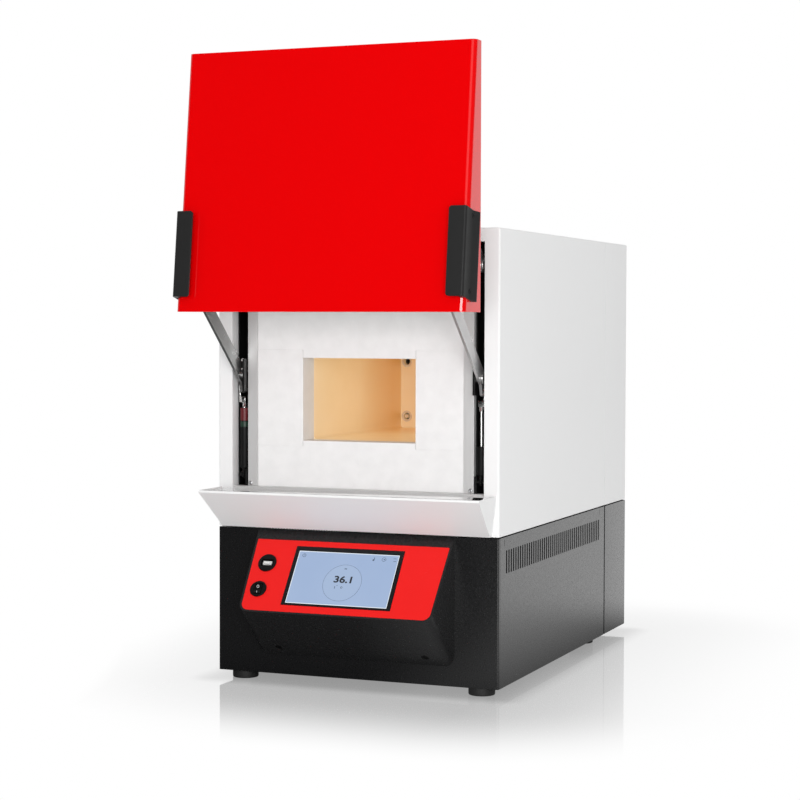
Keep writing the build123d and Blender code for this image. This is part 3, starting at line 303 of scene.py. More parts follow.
seen = blend_shaders(world, any_ray(world, "Camera", "Transmission"), lit, backdrop)
sky.links.new(seen, sky.nodes["World Output"].inputs["Surface"])
print("mirrors see the room at", MIRRORED_FRONT, "in front and", MIRRORED_BEHIND, "behind")

# %% The softbox
SOFTBOX_TURN = radians(23)
SOFTBOX_AWAY, SOFTBOX_LEVEL = 3.2, 0.6
softbox = bpy.data.lights.new("softbox", "AREA")
softbox.shape = "RECTANGLE"
softbox.size, softbox.size_y = 2.2, 1.4
softbox.energy = 52.0
softbox_plan = (SOFTBOX_AWAY * sin(SOFTBOX_TURN), -SOFTBOX_AWAY * cos(SOFTBOX_TURN))
softbox_spot = Vector((*softbox_plan, SOFTBOX_LEVEL))
softbox_way = Vector((0, 0, SOFTBOX_LEVEL)) - softbox_spot
softbox_turn = softbox_way.to_track_quat("-Z", "Y").to_matrix().to_4x4()
softbox_holder = bpy.data.objects.new("softbox", softbox)
softbox_holder.matrix_world = Matrix.Translation(softbox_spot) @ softbox_turn
softbox_holder.visible_camera = False
bpy.context.scene.collection.objects.link(softbox_holder)
print("softbox at", [round(value, 2) for value in softbox_spot])

# %% [markdown]
# The floor is one large sheet. Everything on it depends on how far a point lies from the furnace's
# footprint: the point less the middle, without its signs, less half the footprint, never below nothing.

# %% The floor's sheet
FLOOR_SIDE = 12.0
reach = FLOOR_SIDE / 2
floor_corners = [(-reach, -reach, 0), (reach, -reach, 0), (reach, reach, 0), (-reach, reach, 0)]
floor_mesh = bpy.data.meshes.new("floor")
floor_mesh.from_pydata(floor_corners, [], [(0, 1, 2, 3)])
floor = bpy.data.objects.new("floor", floor_mesh)
bpy.context.scene.collection.objects.link(floor)
ground = bpy.data.materials.new("pale_floor")
ground.use_nodes = True
floor_mesh.materials.append(ground)
print("floor", FLOOR_SIDE, "m across")

# %% How far a point of the floor lies from the furnace
FOOTPRINT_MIDDLE = (0, FRONT_Y + DEPTH / 2000, 0)
FOOTPRINT_HALF = (WIDTH / 2000, DEPTH / 2000, 0)
PICTURE_RIGHT = (cos(YAW), sin(YAW), 0.0)
floor_point = node(ground, "TexCoord").outputs["Object"]
centred = vector_step(ground, "SUBTRACT", floor_point, FOOTPRINT_MIDDLE)
away = vector_step(ground, "ABSOLUTE", centred)
outside = vector_step(ground, "MAXIMUM", vector_step(ground, "SUBTRACT", away, FOOTPRINT_HALF), (0, 0, 0))
distance = vector_step(ground, "LENGTH", outside)
across = node(ground, "SeparateXYZ", Vector=centred).outputs["X"]
across_picture = vector_step(ground, "DOT_PRODUCT", centred, PICTURE_RIGHT)
print("footprint", WIDTH, "by", DEPTH, "mm")

# %% [markdown]
# Close to the base the floor mirrors faintly, and the mirror fades with the distance, as a glossy table
# does once its sheen meets the bright background. It is fainter on the right, and there is none left of
# the furnace. Farther out the sheet glows at the backdrop's own white, so no horizon shows. Its glow is
# dimmed near the footprint, a soft contact shadow painted under the edge.

# %% The floor as the camera sees it
# From one distance in metres to another, and the value at each
MIRROR_FADE, RIGHT_FADE = (0.1, 0.42, 0.45, 0.0), (0.2, 0.45, 1.0, 0.6)
LEFT_CLEAR, CONTACT, GLOW = (-0.52, -0.32, 1.0, 0.0), (0.0, 0.05, 0.66, 1.0), (0.05, 0.3, 0.82, 1.0)
mirror_share = remap(ground, distance, *MIRROR_FADE, soft=True)
mirror_share = product(ground, mirror_share, remap(ground, across, *RIGHT_FADE))
clear_left = remap(ground, across_picture, *LEFT_CLEAR, soft=True)
mirror_share = product(ground, mirror_share, arithmetic(ground, "SUBTRACT", 1.0, clear_left))
# Painted shadow: the floor's glow dims close to the footprint
contact = remap(ground, distance, *CONTACT, soft=True)
glow_share = arithmetic(ground, "MAXIMUM", remap(ground, distance, *GLOW), clear_left)
glow = node(ground, "Emission", Color=WHITE, Strength=contact).outputs[0]
matt = node(ground, "BsdfDiffuse", Color=(0.9, 0.9, 0.9, 1)).outputs[0]
gloss = node(ground, "BsdfGlossy", Color=WHITE, Roughness=0.05).outputs[0]
seen_floor = blend_shaders(ground, mirror_share, blend_shaders(ground, glow_share, matt, glow), gloss)
print("floor mirrors", MIRROR_FADE[2], "at the base and nothing at", MIRROR_FADE[1], "m")

# %% [markdown]
# Paint would mirror that glow, so it meets a plainer floor: dark below the furnace, a painted shade for
# the shadow there, and dark in the dark part of the studio, pale in the open. Light that falls on the
# floor meets a plain matt sheet.

# %% The floor as paint and light meet it
FLOOR_DARK = 0.1
BASE_SHADE = (0.0, 0.35, 0.26, 1.25)
outward = vector_step(ground, "NORMALIZE", centred)
lit_part = remap(ground, vector_step(ground, "DOT_PRODUCT", outward, DARK_LEFT), *LEFT_EDGE, 1.0, FLOOR_DARK)
# Painted shade: the floor that paint mirrors darkens under and near the furnace
clear_of_base = remap(ground, distance, *BASE_SHADE)
mirrored_level = product(ground, lit_part, clear_of_base)
mirrored_floor = node(ground, "Emission", Color=WHITE, Strength=mirrored_level).outputs[0]
plain_floor = node(ground, "BsdfDiffuse", Color=(0.76, 0.76, 0.76, 1)).outputs[0]
unseen_floor = blend_shaders(ground, any_ray(ground, "Glossy"), plain_floor, mirrored_floor)
whole_floor = blend_shaders(ground, any_ray(ground, "Camera", "Transmission"), unseen_floor, seen_floor)
ground_nodes = ground.node_tree.nodes
ground_nodes.remove(ground_nodes["Principled BSDF"])
ground.node_tree.links.new(whole_floor, ground_nodes["Material Output"].inputs["Surface"])
print("floor has", len(ground_nodes), "nodes")

# %% [markdown]
# ## Finishes
# Each finish of the record gets a material. The powder coats differ in grain: the white casing has a
# fine orange peel, the base a coarse black texture that sparkles where the light grazes it. Its pimples
# are Voronoi cells, high in the middle. A scanned texture would need a photograph of every coat.

# %% Powder coats
def grained(name, color, roughness, scale, depth, strength, detail=2, **sockets):
    """A finish with an even grain: noise of scale features per metre, raised by depth metres."""
    material = finish(name, color, roughness, **sockets)
    raised(material, noise(material, scale, detail), depth, strength)
    return material


white = grained("casing_white", (0.82, 0.822, 0.822), 0.42, 1400, 0.00002, 0.35, Specular_IOR_Level=0.25)
uneven(white, 60, 0.38, 0.48, 3)
pod = grained("pod_black", (0.013, 0.013, 0.0135), 0.26, 1500, 0.00003, 0.5, IOR=1.35)
uneven(pod, 120, 0.22, 0.32)

PIMPLES_PER_METRE, PIMPLE_EDGE, PIMPLE_HEIGHT = 330.0, 0.32, 0.00014
black = finish("base_black", (0.005, 0.005, 0.0055), 0.28)
cells = node(black, "TexVoronoi", Vector=position(black), Scale=PIMPLES_PER_METRE).outputs["Distance"]
raised(black, remap(black, cells, 0.0, PIMPLE_EDGE, 1, 0), PIMPLE_HEIGHT, 0.8)
uneven(black, 300, 0.22, 0.34)
print(len(FINISHES), "powder coats")

# %% [markdown]
# The door is sprayed red under a thick clear coat: the red itself is matt, and the coat alone makes the
# sharp streak at the bend. The fascia's red has no coat.

# %% Red paints
clear_coat = {"Coat_Weight": 0.9, "Coat_Roughness": 0.03, "Coat_IOR": 2.0}
red = grained("door_red", (0.75, 0.0, 0.001), 0.3, 700, 0.00001, 0.1, 1, Specular_IOR_Level=0.0, **clear_coat)
uneven(red, 40, 0.26, 0.34)
grained("fascia_red", (0.8, 0.01, 0.009), 0.38, 2600, 0.00001, 0.4, 1, Specular_IOR_Level=0.2)
print(len(FINISHES), "finishes so far")

# %% [markdown]
# Moulded black parts look alike until the light slides over them. Handles and strut tubes have a low
# index, so that they stay dull at a grazing angle.

# %% Plastics and rubber
handle = grained("handle_black", (0.019, 0.019, 0.019), 0.4, 1800, 0.00004, 0.6, IOR=1.25)
uneven(handle, 90, 0.36, 0.46)
strut_black = finish("strut_black", (0.006, 0.006, 0.006), 0.45, IOR=1.25)
uneven(strut_black, 200, 0.4, 0.5)
grained("rubber", (0.012, 0.012, 0.012), 0.62, 900, 0.00005, 0.5)
grained("display_black", (0.004, 0.004, 0.005), 0.2, 300, 0.00001, 0.2, 1, Specular_IOR_Level=0.3)
grained("socket_black", (0.005, 0.005, 0.005), 0.3, 2200, 0.00002, 0.5, 1, IOR=1.25)
grained("slot_black", (0.006, 0.006, 0.006), 0.4, 900, 0.00003, 0.5, IOR=1.35)
grained("gland_plastic", (0.02, 0.02, 0.02), 0.45, 1200, 0.00003, 0.4)
grained("relay_plastic", (0.03, 0.03, 0.032), 0.5, 1200, 0.00003, 0.4)
board = finish("board_green", (0.01, 0.12, 0.05), 0.4)
tinted(board, noise(board, 260, 3), (0.008, 0.1, 0.04), (0.02, 0.2, 0.09))
print(len(FINISHES), "finishes so far")

# %% [markdown]
# Rolled and drawn metal has fine lines. Noise that is squeezed along one axis gives them, and the same
# lines make the shine uneven. The folded trims are stainless sheet with a dull skin, so they are only
# half metallic. The arms on the left mirror less of the room, so their base colour is made darker there,
# a painted shade for that weaker reflection.

# %% Metals
def brushed(slot, color, roughness, stretch, metallic=1.0, grain=0.00001):
    """Metal with fine lines along the axis whose stretch is smallest."""
    metal = finish(slot, color, roughness, metallic)
    lines = noise(metal, 1500, 2, stretch)
    raised(metal, lines, grain, 0.4)
    to_shader(metal, "Roughness", remap(metal, lines, 0.3, 0.7, roughness - 0.07, roughness + 0.09))
    return metal


brushed("stainless", (0.76, 0.76, 0.755), 0.38, (1, 1, 0.02), 0.45)
brushed("zinc", (0.56, 0.57, 0.58), 0.42, (1, 1, 0.1))
brushed("bright_steel", (0.78, 0.78, 0.77), 0.18, (0.3, 1, 1))
brushed("socket_metal", (0.94, 0.94, 0.93), 0.3, (0.3, 1, 1), 0.2)
brushed("supply_metal", (0.6, 0.6, 0.6), 0.36, (0.05, 1, 1))
brushed("outlet_steel", (0.45, 0.42, 0.38), 0.4, (1, 0.05, 1))
brushed("element_wire", (0.2, 0.18, 0.17), 0.6, (1, 0.1, 1))

arm = brushed("arm_steel", (0.56, 0.56, 0.56), 0.32, (1, 0.03, 0.03), 0.88)
# Painted shade: the arm steel's colour is darker on the left, where the arms mirror less of the room
tinted(arm, along_axis(arm, "X"), (0.27, 0.272, 0.27), (0.56, 0.56, 0.56), -0.1, 0.1)
print(len(FINISHES), "finishes so far")

# %% [markdown]
# The insulating blocks are pressed fibre: chalky, dry and slightly mottled. Two noises do that, a fine
# one for the height and a coarse one for the tone.

# %% Blocks, fibre and probe
block = finish("front_block_white", (0.8, 0.8, 0.797), 0.85, Specular_IOR_Level=0.2)
raised(block, noise(block, 420, 4, (1, 1, 0.5)), 0.00012, 0.35)
tinted(block, noise(block, 55, 4), (0.775, 0.775, 0.772), (0.82, 0.82, 0.817))

fibre = finish("fibre", (0.86, 0.85, 0.82), 0.95, Specular_IOR_Level=0.1)
raised(fibre, noise(fibre, 700, 4, (1, 1, 0.3)), 0.0004, 0.5)
tinted(fibre, noise(fibre, 80, 4), (0.8, 0.79, 0.76), (0.88, 0.87, 0.85))

grained("seal_fibre", (0.8, 0.79, 0.74), 0.95, 1200, 0.0004, 0.6, 3, Specular_IOR_Level=0.1)
grained("probe_ceramic", (0.8, 0.72, 0.6), 0.5, 800, 0.00004, 0.4)
print(len(FINISHES), "finishes so far")

# %% [markdown]
# Light that enters the deep chamber is thrown to and fro between its walls far more often than the
# renderer follows it. The muffle's faint warm emission stands for those last bounces, and its walls are
# painted a deeper orange toward the back, a painted shade for the many bounces there. The back wall
# itself faces the door and stays pale.

# %% The muffle's glazed clay
DEEPENS_FROM, DEEPENS_TO = FRONT_Y + 0.224, FRONT_Y + 0.36
BACK_WALL = (FRONT_Y + 0.393, FRONT_Y + 0.396)
glaze_and_bounce_glow = {"Coat_Weight": 0.3, "Coat_Roughness": 0.2, "Emission_Strength": 0.13}
muffle = finish("muffle_tan", (0.87, 0.71, 0.47), 0.3, **glaze_and_bounce_glow)
clay_tone = remap(muffle, noise(muffle, 14, 3), 0.3, 0.7, 0, 1)
clay = blend_colors(muffle, clay_tone, (0.86, 0.71, 0.46), (0.9, 0.76, 0.53))
depth = along_axis(muffle, "Y")
inward = remap(muffle, depth, DEEPENS_FROM, DEEPENS_TO, 0, 1)
# Painted shade: base and emission colours turn a deeper orange toward the back, except on the back wall
painted_deep_shade = product(muffle, inward, remap(muffle, depth, *BACK_WALL, 1, 0))
to_shader(muffle, "Base Color", blend_colors(muffle, painted_deep_shade, clay, (0.77, 0.47, 0.18)))
to_shader(muffle, "Emission Color", blend_colors(muffle, painted_deep_shade, (1.0, 0.76, 0.44), (1.0, 0.6, 0.2)))
raised(muffle, noise(muffle, 60, 3), 0.0003, 0.2)
print("muffle deepens over", round((DEEPENS_TO - DEEPENS_FROM) * 1000), "mm")

# %% [markdown]
# The touch screen gives off light of its own, so its picture is in the emission colour. A soft change
# of tone across it keeps it from looking like a printed card.

# %% The lit glass
screen = finish("display_glass", (0.05, 0.07, 0.1), 0.12, Specular_IOR_Level=0.3, Emission_Strength=0.8)
screen_tones = blend_colors(screen, noise(screen, 14, 1), (0.34, 0.45, 0.68), (0.42, 0.53, 0.74))
to_shader(screen, "Emission Color", screen_tones)
print(len(FINISHES), "finishes so far")

# %% Give every solid its finish
for part in frame["record"]["subparts"]:
    solid = frame["nodes"][part["node"]]
    for material_slot in solid.material_slots:
        material_slot.material = FINISHES[part["material_slot"]]

# %% [markdown]
# ## Softer edges for the sheet metal
# No real edge is perfectly sharp. Folded sheet has a small radius, cut sheet is deburred, moulded
# plastic has a rounded rim, and each catches a thin line of light. The solids' own meshes stay as they
# are: a merged copy stands in for each visible one, its triangles are joined back into flat faces, and a
# Bevel modifier rounds what is still sharp. Modelling every fold again would be far more work.

# %% A piece on a body, and the softened stand-in for a solid
SLOT_OF = {part["node"]: part["material_slot"] for part in frame["record"]["subparts"]}
SMOOTH_BELOW = radians(38)
SAME_POINT, SAME_PLANE = 1e-6, radians(0.4)


def set_up(name, mesh, slot, body="furnace", replaced=()):
    """Puts a finished mesh on stage as one named piece: its finish, its body, the solids it stands for."""
    mesh.materials.clear()
    mesh.materials.append(FINISHES[slot])
    mesh.shade_smooth()
    mesh.set_sharp_from_angle(angle=SMOOTH_BELOW)
    piece = bpy.data.objects.new(name, mesh)
    bpy.context.scene.collection.objects.link(piece)
    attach(piece, body)
    if replaced:
        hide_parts(*replaced)
    return piece


def softened(solid_name, radius, steps=2):
    """A copy of a solid with its doubles merged and sharp edges rounded; the radius is in mm."""
    solid = frame["nodes"][solid_name]
    shape = bmesh.new()
    shape.from_mesh(solid.data)
    bmesh.ops.remove_doubles(shape, verts=shape.verts, dist=SAME_POINT)
    bmesh.ops.dissolve_limit(shape, angle_limit=SAME_PLANE, verts=shape.verts, edges=shape.edges)
    mesh = bpy.data.meshes.new(solid_name + "_soft")
    shape.to_mesh(mesh)
    shape.free()
    if "custom_normal" in mesh.attributes:
        mesh.attributes.remove(mesh.attributes["custom_normal"])
    piece = set_up(solid_name + "_soft", mesh, SLOT_OF[solid_name], solid["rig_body"], (solid_name,))
    bevel = piece.modifiers.new("soft_edges", "BEVEL")
    bevel.width = radius / 1000
    bevel.segments = steps
    bevel.limit_method = "ANGLE"
    bevel.angle_limit = SMOOTH_BELOW
    bevel.harden_normals = True


# %% Soften what the camera can see
EDGE_RADII = {
    0.12: ["front_blocks_upper", "front_blocks_side", "front_blocks_lower"],
    0.25: [
        "front_trims", "sill_trim", "slot_channel_left", "slot_channel_right", "door_back_plate", "fascia",
    ],
    0.4: [
        "casing_shell", "casing_rear_cover", "base_front_panel", "base_side_left", "base_side_right",
        "base_rear_cover", "data_socket", "switch_body", "switch_rocker", "lower_arms", "upper_arms",
        "pivot_brackets", "strut_anchors", "door_brackets", "display_bezel",
    ],
    0.6: ["shelf", "door_skin", "pivot_pins", "door_pins", "door_switch", "pod_housing"],
    0.5: ["handle_left", "handle_right"],
    1.2: ["muffle", "door_insulation"],
}
for edge_radius, solids in EDGE_RADII.items():
    for solid_name in solids:
        softened(solid_name, edge_radius)
print(sum(map(len, EDGE_RADII.values())), "solids with softened edges")

# %% [markdown]
# ## Surfaces worked out with numpy
# Screws, feet, sleeves and the gland are turned: one profile carried round an axis. The seal is a
# profile carried round a rounded rectangle, a flat bar an outline carried upwards. Each is a grid of
# points over two parameters, worked out as whole arrays, and only its faces have to be listed. A ring's
# grid joins its last row to its first; any other ends in poles, points that lie together and are merged.


# %% From grids of points to a closed piece
def grid_faces(rows, columns, wrap_rows=False):
    """Quads of a grid of points whose columns close on themselves, as index rows."""
    row = np.arange(rows if wrap_rows else rows - 1)[:, None]
    column = np.arange(columns)[None, :]
    after_row, after_column = (row + 1) % rows, (column + 1) % columns
    near, far = row * columns, after_row * columns
    corners = [near + column, near + after_column, far + after_column, far + column]
    return np.stack(np.broadcast_arrays(*corners), axis=-1).reshape(-1, 4)


def closed_mesh(name, grids):
    """One mesh of several closed grids in metres, poles merged and faces turned outwards."""
    points, faces, start = [], [], 0
    for grid, wrap_rows in grids:
        points.append(grid.reshape(-1, 3))
        faces.append(grid_faces(*grid.shape[:2], wrap_rows) + start)
        start += points[-1].shape[0]
    mesh = bpy.data.meshes.new(name)
    mesh.from_pydata(np.concatenate(points).tolist(), [], np.concatenate(faces).tolist())
    shape = bmesh.new()
    shape.from_mesh(mesh)
    bmesh.ops.remove_doubles(shape, verts=shape.verts, dist=2 * SAME_POINT)
    bmesh.ops.recalc_face_normals(shape, faces=shape.faces)
    shape.to_mesh(mesh)
    shape.free()
    return mesh


def built(name, grids, slot, body="furnace", replaced=()):
    """A piece made of closed grids, set up on its body."""
    piece = set_up(name, closed_mesh(name, grids), slot, body, replaced)
    print(name, "on", body, "with", len(piece.data.polygons), "faces")


# %% Profiles carried round an axis
def axes_for(direction):
    """Two unit vectors across a direction, and the direction itself, as the rows of a matrix."""
    along = np.asarray(direction, float) / np.linalg.norm(direction)
    helper = np.eye(3)[np.argmin(np.abs(along))]
    across = np.cross(helper, along)
    across /= np.linalg.norm(across)
    return np.stack([across, np.cross(along, across), along])


def turned(profile, foot, direction, segments=36, flats=(), flutes=0, flute_depth=0.0, ring=False):
    """A (radius, height) profile in mm carried round a direction from a foot point in mm.

    point = foot + r cos(t) across + r sin(t) other + height along. Rows whose index is in flats
    follow a hexagon: r is the apothem and is divided by cos of the angle to the nearest flat. Flutes
    draw the radius in by depth where cos(flutes t) is 1. A ring's profile closes on itself.
    """
    radius, height = np.array(profile, float).T[:, :, None]
    turn = np.linspace(0, 2 * pi, segments, endpoint=False)[None, :]
    to_flat = (turn + pi / 6) % (pi / 3) - pi / 6
    hexagonal = np.isin(np.arange(len(profile)), flats)[:, None]
    reach = np.where(hexagonal, radius / np.cos(to_flat), radius)
    reach = reach - np.where(radius > 0, flute_depth * (0.5 + 0.5 * np.cos(flutes * turn)), 0)
    local = np.stack(np.broadcast_arrays(reach * np.cos(turn), reach * np.sin(turn), height), axis=-1)
    points = local @ axes_for(direction) + np.asarray(foot, float)
    return placed(points), ring


# %% [markdown]
# ## Screws
# Socket screws hold the rear covers, the pod and the trims. The head is a low dome with a hexagonal
# recess, so one profile runs out to the rim, over the dome, down the six flats and to the middle. A
# recess cut by a boolean would look the same, but it leaves long thin faces that shade badly.


# %% Socket screws
def socket_head(radius, height, socket):
    """Profile of a domed head with a hexagonal recess, and which of its rows are hexagons.

    The dome is r cos(t), h (0.45 + 0.55 sin(t)), up to where it meets the recess.
    """
    dome = [(radius * cos(t), height * (0.45 + 0.55 * sin(t))) for t in np.linspace(0, pi / 2 * 0.62, 5)]
    recess_floor = height * 0.35
    rows = [(0, 0), (radius * 0.97, 0), (radius, height * 0.08), *dome, (socket * 1.22, height)]
    rows += [(socket, height - 0.12), (socket, recess_floor), (0, recess_floor - 0.15)]
    return rows, (len(rows) - 3, len(rows) - 2)


def screws(name, slot, places, direction, radius, height, socket, replaced):
    """Several equal socket screws as one piece, in the place of the record's plain ones."""
    rows, flats = socket_head(radius, height, socket)
    heads = [turned(rows, spot, direction, flats=flats) for spot in places]
    built(name, heads, slot, replaced=(replaced,))


REAR_SCREW_X, REAR_SCREW_LEVELS = 205.0, (30, 205, 245, 440, 636)
rear_places = [(side * REAR_SCREW_X, DEPTH, z) for side in SIDES for z in REAR_SCREW_LEVELS]
screws("rear_cover_screws", "bright_steel", rear_places, BACKWARD, 4.0, 2.2, 1.5, "rear_screws")

TRIM_SCREW_X, TRIM_FACE, TRIM_SCREW_LEVELS = 171.0, 12.0, (288, 624)
trim_places = [(side * TRIM_SCREW_X, TRIM_FACE, z) for side in SIDES for z in TRIM_SCREW_LEVELS]
screws("front_trim_screws", "zinc", trim_places, FORWARD, 3.0, 1.9, 1.2, "trim_screws")

# %% [markdown]
# The control pod leans back, and the screen, the marks and the switch lie on its sloping face. One more
# small function carries (across, up the slope, out of it) to a point. The pod's underside slants from
# its nose down to its foot, and two screws are sunk in it.

# %% The pod's sloping face
SLOPE = radians(36.5)
RISE, RUN = cos(SLOPE), sin(SLOPE)
FACE_MIDDLE = (-43.6, 163.5)
OUT_OF_SLOPE = (0, -RISE, RUN)


def on_slope(x, up, out=0.0):
    """A point of the pod's sloping face: x across, up the slope and out of it, in mm."""
    y = FACE_MIDDLE[0] + np.asarray(up) * RUN - np.asarray(out) * RISE
    z = FACE_MIDDLE[1] + np.asarray(up) * RISE + np.asarray(out) * RUN
    return np.stack(np.broadcast_arrays(np.asarray(x, float), y, z), axis=-1)


# %% Screws under the pod's nose
NOSE_DOWN, POD_FOOT = 62.2, 40.0
POD_SCREW_X, POD_SCREW_Y, POD_SCREW_SUNK = 113.5, -14.0, 1.5
nose = on_slope(0, -NOSE_DOWN)
under_angle = atan2(nose[2] - POD_FOOT, -nose[1])
under_out = np.array([0, -sin(under_angle), -cos(under_angle)])
under_z = POD_FOOT - POD_SCREW_Y * (nose[2] - POD_FOOT) / -nose[1]
under_places = [np.array([side * POD_SCREW_X, POD_SCREW_Y, under_z]) for side in SIDES]
pod_places = [spot - POD_SCREW_SUNK * under_out for spot in under_places]
screws("pod_socket_screws", "socket_black", pod_places, under_out, 4.6, 1.1, 2.2, "pod_screws")

# %% [markdown]
# ## Feet and gland
# A foot is turned rubber with a rounded tread and a deep hole for its screw. The profile goes down the
# hole, over the tread and up the flank, and closes on itself.

# %% Rubber feet
FOOT_RADIUS, FOOT_HEIGHT, TREAD = 19.0, 12.0, 2.0
FOOT_X, FOOT_YS = 185, (23, 512)
SCREW_SEAT = 6.0
QUARTER_TURN = np.linspace(0, pi / 2, 5)
foot_places = [(side * FOOT_X, y, 0) for side in SIDES for y in FOOT_YS]
tread = [(FOOT_RADIUS - TREAD + TREAD * sin(t), TREAD - TREAD * cos(t)) for t in QUARTER_TURN]
foot_hole = [(2.8, FOOT_HEIGHT), (2.8, SCREW_SEAT), (6.2, SCREW_SEAT), (6.2, 0.6), (6.8, 0.0)]
foot_profile = [*foot_hole, *tread, (FOOT_RADIUS, FOOT_HEIGHT)]
feet = [turned(foot_profile, spot, UP, 64, ring=True) for spot in foot_places]
built("rubber_feet", feet, "rubber", replaced=("feet",))
foot_screw_places = [(x, y, SCREW_SEAT - 0.1) for x, y, _ in foot_places]
screws("foot_socket_screws", "zinc", foot_screw_places, DOWN, 5.5, 3.4, 2.2, "foot_screws")

# %% [markdown]
# The cord would enter through the gland, a plastic dome nut: a hexagon against the panel, a fluted cap
# that is tightened by hand, and a barrel through the wall. All three are rings.

# %% Cable gland
GLAND = (150.0, DEPTH, 58.0)
BORE, FLUTES = 5.0, 24
nut_profile = [(BORE, 0.1), (13.0, 0.1), (13.4, 0.7), (13.4, 4.4), (12.6, 5.0), (BORE, 5.0)]
nut = turned(nut_profile, GLAND, BACKWARD, 72, flats=(1, 2, 3, 4), ring=True)
cap_end = [(8.4 + 3 * cos(t), 11 + 3 * sin(t)) for t in np.linspace(0, pi / 2, 6)]
cap_profile = [(BORE, 4.8), (11.4, 4.8), *cap_end, (5.4, 14.0), (BORE, 13.4)]
cap = turned(cap_profile, GLAND, BACKWARD, 144, flutes=FLUTES, flute_depth=0.5, ring=True)
barrel_profile = [(BORE, -14.0), (9.9, -14.0), (9.9, 0.3), (BORE, 0.3)]
barrel = turned(barrel_profile, GLAND, BACKWARD, 48, ring=True)
built("gland_nut", [nut, cap, barrel], "gland_plastic", replaced=("cable_gland",))

# %% [markdown]
# ## Pull struts
# The struts in the side slots are a black painted tube with an eye on the anchor below, a bright rod
# with a threaded end, and a flat eye on the crank pin. Round parts are turned again, and the flat ones
# are a slab: a rectangle with rounded corners, carried upwards.

# %% A flat bar
STRUT_X, STRUT_Y, STRUT_FOOT = 184.5, 18.47, 300.0
CRANK_Z = 427.04


def slab(x0, x1, y0, y1, z0, z1, round_off=0.5, corner=0.8):
    """A flat bar with rounded corners in plan, its outline carried up through six levels.

    outline = middle + sign(direction) (half - corner) + corner direction. The first and last levels are
    poles, and the outline is drawn in a little at both ends, over the height of round_off.
    """
    middle = np.array([(x0 + x1) / 2, (y0 + y1) / 2])
    half = np.array([(x1 - x0) / 2, (y1 - y0) / 2])
    turn = np.linspace(0, 2 * pi, 24, endpoint=False) + pi / 24
    around = np.stack([np.cos(turn), np.sin(turn)], -1)
    outline = np.sign(around) * (half - corner) + corner * around
    ends = outline - np.sign(around) * corner * 0.3
    levels = [z0, z0, z0 + round_off, z1 - round_off, z1, z1]
    rows = [0 * outline, ends, outline, outline, ends, 0 * outline]
    xy = middle + np.stack(rows)
    return place(xy[..., 0], xy[..., 1], np.array(levels, float)[:, None]), False


def strut_slab(side, near, far, half_depth, low, high):
    """A flat bar of a strut, between two distances from the furnace's middle."""
    x0, x1 = sorted((side * near, side * far))
    return slab(x0, x1, STRUT_Y - half_depth, STRUT_Y + half_depth, low, high)


# %% The two struts
TUBE_RADIUS, TUBE_ROUNDING = 6.0, 1.6
ANCHOR_REACH = 9
EYE_INNER, EYE_OUTER = 188.5, 190.9
ROD_BELOW_PIN, THREAD_LENGTH, THREAD_PITCH = 14, 14, 1.6


def strut_tube(side, word, tube_top):
    """The painted tube with rounded ends, and the stem and eye that hold it on the anchor."""
    low, neck = STRUT_FOOT + ANCHOR_REACH, TUBE_RADIUS - TUBE_ROUNDING
    ends = [(neck + TUBE_ROUNDING * sin(t), TUBE_ROUNDING * (1 - cos(t))) for t in QUARTER_TURN]
    lower_end = [(r, low + h) for r, h in ends]
    upper_end = [(r, tube_top - h) for r, h in reversed(ends)]
    tube_profile = [(0, low), *lower_end, *upper_end, (0, tube_top)]
    tube = turned(tube_profile, (side * STRUT_X, STRUT_Y, 0), UP, 40)
    eye_profile = [(3.1, -2), (5.5, -2), (6.0, -1.6), (6.0, 1.6), (5.5, 2), (3.1, 2)]
    eye = turned(eye_profile, (side * STRUT_X, STRUT_Y, STRUT_FOOT), (side, 0, 0), 40, ring=True)
    stem = strut_slab(side, 182.5, 186.5, 4.6, STRUT_FOOT + 2, STRUT_FOOT + 10)
    built(f"strut_tube_{word}", [tube, eye, stem], "strut_black", replaced=(f"pull_strut_{word}",))


def strut_rod(side, word, tube_top, radius):
    """The bright rod with its threaded end, the eye on the crank pin and the two flats between them."""
    top = CRANK_Z - ROD_BELOW_PIN
    crests = np.arange(top - THREAD_LENGTH, top - 1, THREAD_PITCH)
    half_pitch = THREAD_PITCH / 2
    thread = [(3.0 + 0.4 * step, crest + half_pitch * step) for crest in crests for step in (0, 1)]
    shank = [(0, tube_top - 1), (radius, tube_top - 1), (radius, top - THREAD_LENGTH)]
    rod = turned([*shank, *thread, (3.2, top), (0, top)], (side * STRUT_X, STRUT_Y, 0), UP, 32)
    eye_profile = [(3.1, 0), (6.0, 0), (6.5, 0.4), (6.5, 2.0), (6.0, 2.4), (3.1, 2.4)]
    eye = turned(eye_profile, (side * EYE_INNER, STRUT_Y, CRANK_Z), (side, 0, 0), 40, ring=True)
    tongue = strut_slab(side, EYE_INNER, EYE_OUTER, 5, CRANK_Z - 16, CRANK_Z - 4)
    yoke = strut_slab(side, 181.2, EYE_OUTER, 4.6, CRANK_Z - 21, CRANK_Z - 13)
    built(f"strut_rod_{word}", [rod, eye, tongue, yoke], "bright_steel")


for side, word, tube_top, rod_radius in ((-1, "left", 398.0, 2.4), (1, "right", 350.0, 1.7)):
    strut_tube(side, word, tube_top)
    strut_rod(side, word, tube_top, rod_radius)

# %% [markdown]
# Two coloured sleeves sit on the left strut, dark red above green. Each is a thin ring a little larger
# than the tube, so it shows as a step and not as paint.

